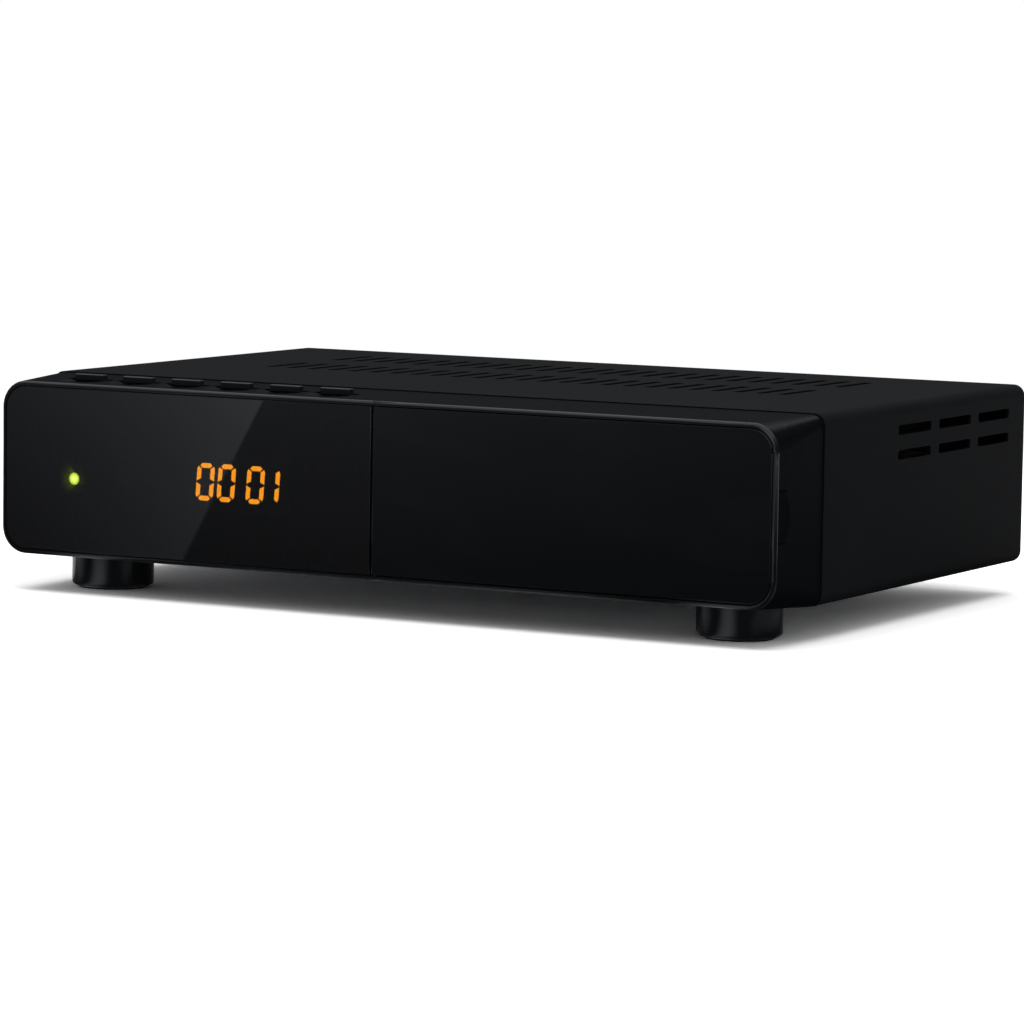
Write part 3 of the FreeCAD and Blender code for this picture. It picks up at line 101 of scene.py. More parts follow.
class FinishSettings(bpy.types.PropertyGroup):
    """Colours and surface detail of the receiver's materials."""
    cover_paint: colour("Cover paint", "Powder coat of the steel cover", (0.0062, 0.0069, 0.0078))
    zinc: colour("Zinc", "Plating of the tray", (0.52, 0.53, 0.55))
    bezel: colour("Bezel", "Moulded front", (0.0019, 0.0024, 0.0033))
    gloss: colour("Gloss panel", "Polished skin of the flap", (0.0012, 0.0013, 0.0016))
    smoke: colour("Window smoke", "Tint of the smoked window", (0.016, 0.016, 0.017))
    keys: colour("Keys", "Moulded key tops", (0.0092, 0.0098, 0.0112))
    feet: colour("Feet", "Moulded feet", (0.0045, 0.0047, 0.0052))
    digits: colour("Digits", "Light of the lit segments", (1.0, 0.345, 0.01))
    lamp: colour("Lamp", "Light of the status lamp", (0.62, 0.86, 0.05))
    laminate: colour("Solder resist", "Coating of the circuit boards", (0.012, 0.09, 0.03))
    copper: colour("Copper", "Windings", (0.78, 0.35, 0.16))
    gold: colour("Gold", "Plated contacts", (0.9, 0.62, 0.22))
    ferrite: colour("Ferrite", "Cores of the transformer and the coils", (0.045, 0.045, 0.05))
    black_plastic: colour("Black plastic", "Sockets and bobbins", (0.02, 0.02, 0.021))
    tape: colour("Tape", "Wrapping of the transformer's winding", (0.72, 0.48, 0.05))
    rim_polish: share("Rim polish", "Clear coat on the bezel's rim", 0.85)
    grain_size: length("Grain size", "Width of one grain of the powder coat", 0.42 * MM)
    grain_depth: length("Grain depth", "Height of the powder coat's grain", 0.05 * MM)
    spark_size: length("Spark size", "Grain of the moulded plastic", 0.16 * MM)
    spark_depth: length("Spark depth", "Height of the moulded plastic's grain", 0.008 * MM)
    edge_radius: length("Edge radius", "Rounding of sheet and moulded edges", 0.18 * MM)
    polish_radius: length("Polish radius", "Rounding of the gloss plates' edges", 0.3 * MM)
    edge_wear: share("Edge wear", "How much lighter the edges are", 0.35)


class DetailSettings(bpy.types.PropertyGroup):
    """Sizes of the small pieces that are modelled here."""
    thread_pitch: length("Thread pitch", "Pitch of the aerial thread", 0.79 * MM)
    thread_depth: length("Thread depth", "Depth of the aerial thread", 0.36 * MM)
    lead_in: length("Lead-in", "Chamfer of the aerial connectors' end", 0.4 * MM)
    bore: length("Bore", "Radius of the aerial bore", 3.6 * MM)
    bore_depth: length("Bore depth", "Depth of the aerial bore", 8.0 * MM)
    shank: length("Shank", "Radius under the aerial nuts", 4.5 * MM)
    first_slot: length("First slot", "Audio-video socket's side to its slots", 6.8 * MM)
    slot_pitch: length("Slot pitch", "Pitch of the audio-video socket's slots", 3.19 * MM)


class StageSettings(bpy.types.PropertyGroup):
    """Camera, light and floor."""
    camera_place: spot("Camera place", "Where the camera stands", (0.5781, -1.06135, 0.1408))
    camera_turn: angle("Camera turn", "Turn about the upright axis", 28.72)
    camera_tilt: angle("Camera tilt", "Tilt below the horizon", 5.70)
    camera_roll: angle("Camera roll", "Roll about the line of sight", 0.88)
    lens: focal("Lens", "Focal length", 165.2)
    fill: plain("Fill", "Strength of the light from all round", 0.6)
    softbox_power: power("Softbox power", "Power of the overhead softbox", 12.3)
    softbox_width: length("Softbox width", "Width of the overhead softbox", 1.6)
    softbox_depth: length("Softbox depth", "Depth of the overhead softbox", 1.2)
    softbox_height: length("Softbox height", "Height of the softbox above the floor", 1.3)
    softbox_ahead: length("Softbox ahead", "Softbox in front of the middle", 0.25)
    floor_reach: length("Floor reach", "Half the width of the floor", 6.0)
    floor_white: plain("Floor white", "How white the floor reads to the camera", 1.55)
    floor_bounce: share("Floor bounce", "Light that the floor gives back", 0.8)
    shadow_reach: length("Shadow reach", "Where the floor starts to read pure white", 0.42)
    white_reach: length("White reach", "Where the floor reads pure white", 0.75)


# ---- Node building ----
class Nodes:
    """Adds and joins the nodes of one material, group or world."""

    def __init__(self, tree):
        self.tree = tree

    def add(self, kind, inputs=None, **settings):
        node = self.tree.nodes.new("ShaderNode" + kind)
        for name, value in settings.items():
            setattr(node, name, value)
        for socket, value in (inputs or {}).items():
            self.give(node.inputs[socket], value)
        return node

    def give(self, socket, value):
        """Links an output to a socket, or sets the socket to a value."""
        if isinstance(value, bpy.types.NodeSocket):
            self.tree.links.new(value, socket)
        elif socket.type == "RGBA" and len(value) == 3:
            socket.default_value = (*value, 1)
        else:
            socket.default_value = value

    def maths(self, operation, *values, clamp=False):
        inputs = dict(enumerate(values))
        return self.add("Math", inputs, operation=operation, use_clamp=clamp).outputs[0]

    def times(self, first, second):
        return self.maths("MULTIPLY", first, second)

    def plus(self, first, second, clamp=False):
        return self.maths("ADD", first, second, clamp=clamp)

    def measure(self, operation, *vectors):
        """A number from one or two vectors: a length, a distance or a dot product."""
        inputs = dict(enumerate(vectors))
        return self.add("VectorMath", inputs, operation=operation).outputs["Value"]

    def split(self, vector):
        return self.add("SeparateXYZ", {"Vector": vector}).outputs

    def coordinates(self, kind="Object"):
        return self.add("TexCoord").outputs[kind]

    def facing(self):
        """The surface's true direction."""
        return self.add("NewGeometry").outputs["Normal"]

    def mixed(self, factor, low, high):
        """A colour between two colours."""
        node = self.add("Mix", data_type="RGBA")
        for socket, value in ((0, factor), (6, low), (7, high)):
            self.give(node.inputs[socket], value)
        return node.outputs[2]

    def between(self, value, low, high, to_low=0.0, to_high=1.0, smooth=False):
        """Maps a value from one range to another, held at the ends."""
        inputs = {"Value": value, "From Min": low, "From Max": high, "To Min": to_low,
                  "To Max": to_high}
        kind = "SMOOTHSTEP" if smooth else "LINEAR"
        return self.add("MapRange", inputs, interpolation_type=kind).outputs["Result"]

    def blend(self, factor, low, high):
        """A number between two numbers."""
        return self.add("Mix", {0: factor, 2: low, 3: high}, data_type="FLOAT").outputs[0]

    def band(self, value, low, high, soft):
        """A mask that is 1 between two values."""
        return self.times(self.between(value, low - soft, low + soft),
                          self.between(value, high - soft, high + soft, 1.0, 0.0))

    def repeat(self, value, first, pitch):
        """How far a value is from the nearest of a row of places."""
        shifted = self.maths("SUBTRACT", value, first - pitch / 2)
        return self.maths("SUBTRACT", self.maths("FLOORED_MODULO", shifted, pitch), pitch / 2)

    def noise(self, place, scale, detail=2.0):
        inputs = {"Vector": place, "Scale": scale, "Detail": detail}
        return self.add("TexNoise", inputs).outputs["Fac"]

    def cells(self, place, scale, output, **settings):
        """Voronoi cells, as their distance or their colour."""
        inputs = {"Vector": place, "Scale": scale}
        return self.add("TexVoronoi", inputs, **settings).outputs[output]

    def stretched(self, place, scale):
        return self.add("Mapping", {"Vector": place, "Scale": scale}).outputs["Vector"]


EFFECTS = {}


def effect(title, inputs, outputs):
    """Turns a function into a shared node group, which is built when it is first used."""
    def keep(fill):
        @functools.cache
        def group():
            tree = bpy.data.node_groups.new(title, "ShaderNodeTree")
            for way, sockets in (("INPUT", ("Vector", *inputs)), ("OUTPUT", outputs)):
                for socket in sockets:
                    kind = "Vector" if socket in ("Vector", "Normal") else "Float"
                    tree.interface.new_socket(name=socket, in_out=way,
                                              socket_type="NodeSocket" + kind)
            nodes = Nodes(tree)
            given = tree.nodes.new("NodeGroupInput").outputs
            results = fill(nodes, given["Vector"], *(given[name] for name in inputs))
            for socket, result in zip(tree.nodes.new("NodeGroupOutput").inputs, results):
                nodes.give(socket, result)
            return tree
        EFFECTS[fill.__name__] = group
        return fill
    return keep


@effect("Pebbled grain", ["Size"], ["Height", "Tone"])
def grain(nodes, place, size):
    """Pebbled grain of paint and moulded plastic, with slow changes of tone."""
    scale = nodes.maths("DIVIDE", 1.0, size)
    inputs = {"Vector": place, "Scale": scale, "Smoothness": 0.7}
    cells = nodes.add("TexVoronoi", inputs, feature="SMOOTH_F1").outputs["Distance"]
    fine = nodes.noise(place, nodes.times(scale, 2.3))
    cloud = nodes.noise(place, 22.0, 4.0)
    speck = nodes.noise(place, nodes.times(scale, 0.6), 1.0)
    return (nodes.plus(nodes.times(cells, 0.65), nodes.times(fine, 0.35)),
            nodes.plus(nodes.times(cloud, 0.55), nodes.times(speck, 0.45)))


@effect("Worn edge", ["Radius"], ["Mask", "Normal"])
def edge(nodes, place, radius):
    """Where an edge is, as a broken mask, and a normal that rounds it."""
    rounded = nodes.add("Bevel", {"Radius": radius}, samples=4).outputs["Normal"]
    found = nodes.between(nodes.measure("DOT_PRODUCT", rounded, nodes.facing()), 0.995, 0.8)
    broken = nodes.between(nodes.noise(place, 320.0, 3.0), 0.35, 0.65, 0.25)
    return nodes.times(found, broken), rounded


@effect("Wiped marks", [], ["Value"])
def smudge(nodes, place):
    """Wiped marks and hairlines of a handled gloss surface."""
    wiped = nodes.noise(nodes.stretched(place, (34.0, 34.0, 90.0)), 1.0, 5.0)
    hair = nodes.noise(nodes.stretched(place, (60.0, 60.0, 1500.0)), 1.0, 2.0)
    patch = nodes.between(wiped, 0.48, 0.7, smooth=True)
    line = nodes.between(hair, 0.66, 0.74)
    return [nodes.plus(nodes.times(patch, 0.7), nodes.times(line, 0.3))]


@effect("Drawn metal", ["Fineness"], ["Height", "Tone"])
def drawn(nodes, place, fineness):
    """Fine lines of rolled or drawn metal along X, with plated patches."""
    lines = nodes.noise(nodes.stretched(place, (0.02, 1.0, 1.0)), fineness, 3.0)
    patch = nodes.cells(place, 190.0, "Color", feature="F1")
    shade = nodes.add("SeparateColor", {"Color": patch}).outputs["Red"]
    return lines, nodes.plus(nodes.times(lines, 0.55), nodes.times(shade, 0.45))


@effect("Settled dust", [], ["Mask"])
def dust(nodes, place):
    """Light dust on what faces up."""
    upwards = nodes.between(nodes.split(nodes.facing())["Z"], 0.4, 1.0)
    patch = nodes.between(nodes.noise(place, 46.0, 5.0), 0.4, 0.75, 0.1)
    speck = nodes.between(nodes.noise(place, 2600.0, 1.0), 0.6, 0.75, 0.2)
    return [nodes.times(upwards, nodes.times(patch, speck))]


def emptied(owner):
    """The node tree of a material or a world, in use and empty."""
    owner.use_nodes = True
    owner.node_tree.nodes.clear()
    return owner.node_tree


class Finish(Nodes):
    """A material in the making: its Principled shader, its nodes and its object coordinates."""

    def __init__(self, name, **sockets):
        self.material = bpy.data.materials.new(name)
        super().__init__(emptied(self.material))
        self.shader = self.add("BsdfPrincipled")
        self.set(**sockets)
        self.add("OutputMaterial", {"Surface": self.shader.outputs[0]})
        self.place = self.coordinates()

    def set(self, **sockets):
        """Gives the shader's sockets; an underscore stands for a space."""
        for name, value in sockets.items():
            self.give(self.shader.inputs[name.replace("_", " ")], value)

    def axes(self, kind="Object"):
        """The object coordinates, or with "Normal" the surface's direction, axis by axis."""
        return self.split(self.coordinates(kind))

    def over(self, name, mask, value):
        """Changes one of the shader's inputs where a mask says."""
        socket = self.shader.inputs[name]
        below = socket.links[0].from_socket if socket.is_linked else socket.default_value
        mix = self.mixed if socket.type == "RGBA" else self.blend
        self.give(socket, mix(mask, below, value))

    def paint(self, mask, tone, metal=None):
        """Changes the colour where a mask says, and whether it is metal."""
        self.over("Base Color", mask, tone)
        if metal is not None:
            self.over("Metallic", mask, metal)

    def slanting(self, low, high):
        """A mask of what faces up at a slant: round edges, not flat tops or upright walls."""
        return self.band(self.axes("Normal")["Z"], low, high, 0.08)

    def sunk(self, name, bend):
        """A mask of a sheet-metal node's cut edges and inner faces, which little light reaches; the
        colour is darkened there as painted shade.
        """
        low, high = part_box(name)
        place, facing = self.axes(), self.axes("Normal")
        skin, soft = 0.4 * MM, 0.2 * MM
        above = high.z - bend
        outside = self.times(facing["Z"], self.between(place["Z"], above, above + soft))
        for axis, edge, depth in (("X", high.x, bend), ("X", low.x, -bend), ("Y", high.y, skin),
                                  ("Z", low.z, -skin)):
            reach = self.between(place[axis], edge - depth, edge - depth * 0.9)
            outward = self.times(facing[axis], math.copysign(1.0, depth))
            outside = self.maths("MAXIMUM", outside, self.times(outward, reach))
        return self.between(outside, 0.3, 0.6, 1.0, 0.0)

    def zone(self, **spans):
        """A mask of one block of space: where it starts and ends along X, Y and Z, if anywhere."""
        place, mask, soft = self.axes(), 1.0, 0.05 * MM
        for axis, (start, end) in spans.items():
            for bound, outside, inside in ((start, 0.0, 1.0), (end, 1.0, 0.0)):
                if bound is not None:
                    side = self.between(place[axis], bound - soft, bound + soft, outside, inside)
                    mask = self.times(mask, side)
        return mask

    def use(self, name, **inputs):
        """Places a shared effect and returns its outputs."""
        node = self.add("Group")
        node.node_tree = EFFECTS[name]()
        self.give(node.inputs["Vector"], self.place)
        for socket, value in inputs.items():
            self.give(node.inputs[socket], value)
        return node.outputs

    def bump(self, height, depth, normal=None):
        """Feeds the shader's normal from a height, over a rounded edge's normal if one is given."""
        inputs = {"Height": height, "Distance": depth, "Strength": 1.0}
        if normal is not None:
            inputs["Normal"] = normal
        self.set(Normal=self.add("Bump", inputs).outputs["Normal"])


ACRYLIC_IOR = 1.49
DUST = (0.32, 0.31, 0.3)


def scaled(tone, factor):
    return tuple(min(1.0, channel * factor) for channel in tone[:3])


def moulded(name, tone, smooth, rough, size=None, depth=None, dusty=0.0, lighter=2.4, mottle=0.3,
            **sockets):
    """Painted or moulded finish: grain, mottled tone, rubbed edges and a little dust. The grain is
    the plastic's own unless a size or a depth is given."""
    look = bpy.context.scene.receiver_finish
    made = Finish(name, **sockets)
    grain = made.use("grain", Size=size or look.spark_size)
    edge = made.use("edge", Radius=look.edge_radius)
    base = made.mixed(grain["Tone"], scaled(tone, 1 - mottle), scaled(tone, 1 + mottle))
    rubbed = made.mixed(made.times(edge["Mask"], look.edge_wear), base, scaled(tone, lighter))
    roughness = made.between(grain["Tone"], 0.3, 0.7, smooth, rough)
    if dusty:
        dust = made.times(made.use("dust")["Mask"], dusty)
        rubbed = made.mixed(dust, rubbed, DUST)
        roughness = made.plus(roughness, dust, clamp=True)
    made.set(Base_Color=rubbed, Roughness=roughness)
    made.bump(grain["Height"], depth or look.spark_depth, edge["Normal"])
    return made


def plated(name, tone, fineness, depth, smooth, rough, **sockets):
    """Bare or plated metal: drawn lines, patches of tone and brighter edges."""
    look = bpy.context.scene.receiver_finish
    made = Finish(name, Metallic=1.0, **sockets)
    drawn = made.use("drawn", Fineness=fineness)
    edge = made.use("edge", Radius=look.edge_radius)
    base = made.mixed(drawn["Tone"], scaled(tone, 0.82), scaled(tone, 1.08))
    made.set(Base_Color=made.mixed(edge["Mask"], base, scaled(tone, 1.25)),
             Roughness=made.between(drawn["Tone"], 0.25, 0.75, smooth, rough))
    made.bump(drawn["Height"], depth, edge["Normal"])
    return made


def polished(made, look):
    """Makes a finish glossy, with wiped marks and softened edges, and returns the marks."""
    marks = made.use("smudge")["Value"]
    made.set(Roughness=made.between(marks, 0.0, 1.0, 0.001, 0.012),
             Normal=made.use("edge", Radius=look.polish_radius)["Normal"])
    return marks


def from_lamp(made):
    """How far a place is from the status lamp's axis, and the lamp's radius."""
    low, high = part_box("status_led")
    middle = (low + high) / 2
    away = made.add("Mapping", {"Vector": made.place, "Scale": (1.0, 0.0, 1.0),
                                "Location": (-middle.x, 0.0, -middle.z)})
    return made.measure("LENGTH", away.outputs["Vector"]), (high.x - low.x) / 2


def wear(made, *names):
    """Gives a finished material to CAD nodes."""
    for name in names:
        for slot in PARTS[name].material_slots:
            slot.material = made.material


def nodes_in(slot):
    """The CAD nodes of one material slot of the record."""
    return [name for name, own in SLOT_OF.items() if own == slot]


# ---- Case and front ----
class RECEIVER_OT_case(bpy.types.Operator):
    """Finishes the steel cover, the tray and the moulded bezel"""
    bl_idname = "receiver.case"
    bl_label = "Case"

    def execute(self, context):
        look = context.scene.receiver_finish
        cover = moulded("Powder coat", look.cover_paint, 0.62, 0.78, look.grain_size,
                        look.grain_depth, dusty=0.006, mottle=0.85, Specular_IOR_Level=0.05)
        # Painted shade: the cover's cut edges, slot walls and inner faces are darkened.
        cover.paint(cover.sunk("top_cover", 4 * MM), scaled(look.cover_paint, 0.6))
        wear(cover, "top_cover")
        tray = plated("Zinc plate", look.zinc, 900.0, 0.004 * MM, 0.3, 0.46)
        # Painted shade: the tray's inner faces are darkened to near black.
        tray.paint(tray.sunk("base_tray", 1 * MM), scaled(look.zinc, 0.08))
        wear(tray, "base_tray")
        wear(plated("Zinc standoff", look.zinc, 1800.0, 0.004 * MM, 0.3, 0.46), "standoffs")
        wear(self.bezel(look), "front_bezel")
        return {"FINISHED"}

    def bezel(self, look):
        """Satin moulding whose front rim and upper corners are polished."""
        made = moulded("Bezel plastic", look.bezel, 0.5, 0.62, dusty=0.004,
                       Specular_IOR_Level=0.03, Coat_Roughness=0.13)
        rim_end, soft = CAD_LOW.y + 1.0 * MM, 0.1 * MM
        rim = made.between(made.axes()["Y"], rim_end - soft, rim_end + soft, look.rim_polish, 0.0)
        corners = made.times(made.slanting(0.74, 0.92), 0.6)
        made.set(Coat_Weight=made.maths("MAXIMUM", rim, corners))
        return made


class RECEIVER_OT_plates(bpy.types.Operator):
    """Finishes the smoked window, the gloss flap and the flap's moulded back"""
    bl_idname = "receiver.plates"
    bl_label = "Window and flap"

    def execute(self, context):
        look = context.scene.receiver_finish
        wear(self.smoked_window(look), "display_window")
        wear(self.gloss_panel(look), "flap_panel")
        wear(moulded("Flap back plastic", (0.016, 0.016, 0.017), 0.45, 0.6), "flap_carrier")
        return {"FINISHED"}

    def smoked_window(self, look):
        """Tinted acrylic that lets the display through, with a painted glow of the lamp's light:
        its back face emits the lamp's colour round the lamp.
        """
        made = Finish("Smoked acrylic", Base_Color=look.smoke, Transmission_Weight=0.86,
                      IOR=ACRYLIC_IOR, Emission_Strength=1.0)
        polished(made, look)
        # Painted light: an emission on the window's back face, strongest round the lamp, stands in
        # for the lamp's light spreading in the acrylic.
        distance, radius = from_lamp(made)
        near = made.between(distance, 0.8 * radius, 2.9 * radius, 1.0, 0.0)
        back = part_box("display_window")[1].y
        behind = made.between(made.axes()["Y"], back - 0.3 * MM, back - 0.1 * MM, 0.0, 0.75)
        glow = made.times(made.maths("POWER", near, 3.0), behind)
        made.set(Emission_Color=made.mixed(glow, (0, 0, 0), look.lamp))
        return made

    def gloss_panel(self, look):
        """Polished opaque skin, with the same marks as the window."""
        made = Finish("Gloss panel", IOR=ACRYLIC_IOR)
        marks = polished(made, look)
        made.set(Base_Color=made.mixed(marks, look.gloss, scaled(look.gloss, 2.0)))
        return made


class RECEIVER_OT_display(bpy.types.Operator):
    """Finishes the lit segments, the status lamp, the display block and the infrared sensor"""
    bl_idname = "receiver.display"
    bl_label = "Display"

    def execute(self, context):
        look = context.scene.receiver_finish
        wear(self.segments(look), "display_digits")
        wear(self.lamp(look), "status_led")
        # Painted shade: the display block and the infrared sensor are near black and without
        # reflection, darker than moulded plastic, so they read as the shade behind the smoked
        # window.
        wear(moulded("Display block", (0.0006, 0.0006, 0.0007), 0.5, 0.6, Specular_IOR_Level=0.0),
             "display_module")
        wear(moulded("Infrared filter", (0.0008, 0.0008, 0.0009), 0.4, 0.5,
                     Specular_IOR_Level=0.0), "ir_receiver")
        return {"FINISHED"}

    def segments(self, look):
        """Amber light, a little uneven over each segment."""
        made = Finish("Lit segments", Roughness=0.5, Emission_Strength=88.0)
        uneven = made.noise(made.place, 900.0, 1.0)
        made.set(Base_Color=made.mixed(uneven, scaled(look.digits, 0.5), look.digits),
                 Emission_Color=made.mixed(uneven, scaled(look.digits, 0.8), look.digits))
        return made

    def lamp(self, look):
        """Yellow-green light, palest in the middle and darker at the rim."""
        made = Finish("Status lamp", Roughness=0.2, Emission_Strength=103.0)
        distance, radius = from_lamp(made)
        rim = made.between(distance, 0.35 * radius, 0.8 * radius, smooth=True)
        pale = made.between(distance, 0.1 * radius, 0.55 * radius, smooth=True)
        body = made.mixed(pale, (0.8, 0.9, 0.25), look.lamp)
        made.set(Base_Color=body, Emission_Color=made.mixed(rim, body, scaled(look.lamp, 0.45)))
        return made


class RECEIVER_OT_keys(bpy.types.Operator):
    """Finishes the six keys and their plungers"""
    bl_idname = "receiver.keys"
    bl_label = "Keys"

    def execute(self, context):
        look = context.scene.receiver_finish
        keys = moulded("Key plastic", look.keys, 0.34, 0.44, dusty=0.004, Specular_IOR_Level=0.12,
                       Coat_Roughness=0.14)
        keys.set(Coat_Weight=keys.slanting(0.3, 0.9))
        wear(keys, *[name + "_key" for name in KEYS])
        wear(moulded("Plunger plastic", (0.1, 0.07, 0.05), 0.35, 0.5),
             *[name + "_plunger" for name in KEYS])
        return {"FINISHED"}


class RECEIVER_OT_feet(bpy.types.Operator):
    """Finishes the feet, their pads and all the screws"""
    bl_idname = "receiver.feet"
    bl_label = "Feet and screws"

    def execute(self, context):
        look = context.scene.receiver_finish
        wear(moulded("Foot plastic", look.feet, 0.12, 0.2, look.spark_size * 2), "feet")
        wear(moulded("Pad rubber", (0.012, 0.012, 0.012), 0.75, 0.9, look.grain_size), "foot_pads")
        wear(plated("Plated screw", (0.55, 0.55, 0.56), 3000.0, 0.003 * MM, 0.25, 0.4),
             *nodes_in("screw_steel"))
        wear(moulded("Blackened screw", (0.02, 0.02, 0.021), 0.3, 0.45, Metallic=0.6),
             *nodes_in("screw_black"))
        return {"FINISHED"}


# ---- Rear sockets ----
def made_object(name, mesh, material):
    """Turns a bmesh into an object of the scene."""
    data = bpy.data.meshes.new(name)
    mesh.to_mesh(data)
    mesh.free()
    data.materials.append(material)
    thing = bpy.data.objects.new(name, data)
    bpy.context.scene.collection.objects.link(thing)
    return thing


def piece(name, mesh, body, made):
    """Makes a bmesh a finished piece that rides on a body."""
    bmesh.ops.recalc_face_normals(mesh, faces=mesh.faces)
    thing = made_object(name, mesh, made.material)
    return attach(thing, body)


def outlined(mesh, outline, centre, along):
    """Draws a closed (radius, place along the axis) outline beside an axis."""
    across = along.orthogonal().normalized()
    corners = [mesh.verts.new(Vector(centre) + across * r + along * y) for r, y in outline]
    return corners, [mesh.edges.new((corners[i - 1], corners[i])) for i in range(len(corners))]


def turned(mesh, profile, centre, steps=64):
    """Spins a closed outline round an axis along Y through a centre."""
    along = Vector((0, 1, 0))
    corners, edges = outlined(mesh, profile, centre, along)
    spun = bmesh.ops.spin(mesh, geom=corners + edges, cent=centre, axis=along, angle=TURN,
                          steps=steps, use_merge=True, use_duplicate=False)
    faces = {face for item in spun["geom_last"] for face in item.link_faces}
    reach = set(faces)
    while faces:
        faces = {other for face in faces for edge in face.edges for other in edge.link_faces}
        faces -= reach
        reach |= faces
    for face in reach:
        face.smooth = True


def helix(mesh, section, centre, turns, pitch, steps=40):
    """Sweeps a small closed section round and along an axis along Y."""
    along = Vector((0, 1, 0))
    corners, edges = outlined(mesh, section, centre, along)
    start = mesh.faces.new(corners)
    before = set(mesh.faces)
    spun = bmesh.ops.spin(mesh, geom=corners + edges, cent=centre, axis=along, angle=TURN * turns,
                          steps=round(steps * turns), dvec=along * (pitch / steps))
    last = [item for item in spun["geom_last"] if isinstance(item, bmesh.types.BMEdge)]
    bmesh.ops.contextual_create(mesh, geom=last)
    for face in set(mesh.faces) - before | {start}:
        face.smooth = True


def leaf(mesh, outline, start, width):
    """A bent metal strip: a closed (y, z) outline, made wide along X, with softened edges."""
    face = mesh.faces.new([mesh.verts.new((start, y, z)) for y, z in outline])
    moved = [item for item in bmesh.ops.extrude_face_region(mesh, geom=[face])["geom"]
             if isinstance(item, bmesh.types.BMVert)]
    bmesh.ops.translate(mesh, vec=(width, 0, 0), verts=moved)
    edges = {edge for corner in moved for edge in corner.link_edges}
    edges |= set(face.edges)
    bmesh.ops.bevel(mesh, geom=list(edges), offset=min(width, 0.3 * MM) * 0.08, affect="EDGES",
                    segments=1, profile=0.5, material=-1)


class RECEIVER_OT_aerials(bpy.types.Operator):
    """Builds the two aerial connectors with their threads, and finishes the nuts, the audio jack's
    sleeve and the inlet's pins
    """
    bl_idname = "receiver.aerials"
    bl_label = "Aerial connectors"

    def execute(self, context):
        scene = context.scene
        nickel = plated("Nickel plate", (0.72, 0.7, 0.66), 2400.0, 0.002 * MM, 0.12, 0.24)
        wear(nickel, "connector_nuts", "audio_jack_sleeve", "inlet_pins")
        for name in ("lnb_input_connector", "lnb_loop_connector"):
            self.connector(scene.receiver_detail, name, nickel)
        return {"FINISHED"}

    def connector(self, sizes, name, nickel):
        """Threaded barrel, bored at its end, with a shank that runs under the nut."""
        low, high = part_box(name)
        crest = (high.x - low.x) / 2
        root = crest - sizes.thread_depth
        centre = Vector(((low.x + high.x) / 2, 0, (low.z + high.z) / 2))
        free_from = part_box("connector_nuts")[1].y
        end = high.y
        floor = end - sizes.bore_depth
        half_lead = sizes.lead_in / 2
        mesh = bmesh.new()
        turned(mesh, [(NEAR_AXIS, low.y), (sizes.shank, low.y), (sizes.shank, free_from),
                      (root, free_from), (root, end - half_lead), (root - half_lead, end),
                      (sizes.bore + half_lead, end), (sizes.bore, end - half_lead),
                      (sizes.bore, floor), (NEAR_AXIS, floor)], centre)
        tooth = sizes.thread_pitch * 0.42
        turns = (end - sizes.lead_in - tooth * 2 - free_from) / sizes.thread_pitch
        sunk = root - 0.03 * MM
        helix(mesh, [(sunk, free_from), (crest, free_from + tooth), (sunk, free_from + 2 * tooth)],
              centre, turns, sizes.thread_pitch)
        thing = piece(name + "_barrel", mesh, CHASSIS, nickel)
        thing.data.set_sharp_from_angle(angle=SHARP_ANGLE)
        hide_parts(name)


class RECEIVER_OT_sockets(bpy.types.Operator):
    """Finishes the sockets, shells and the tuner can"""
    bl_idname = "receiver.sockets"
    bl_label = "Sockets"

    def execute(self, context):
        wear(plated("Tinned steel", (0.66, 0.66, 0.64), 1500.0, 0.003 * MM, 0.26, 0.4),
             *nodes_in("screening_tin"))
        wear(moulded("White insert", (0.78, 0.77, 0.72), 0.35, 0.5, lighter=1.2),
             *nodes_in("white_insert"))
        wear(moulded("Socket plastic", context.scene.receiver_finish.black_plastic, 0.36, 0.5),
             *nodes_in("component_plastic"))
        return {"FINISHED"}


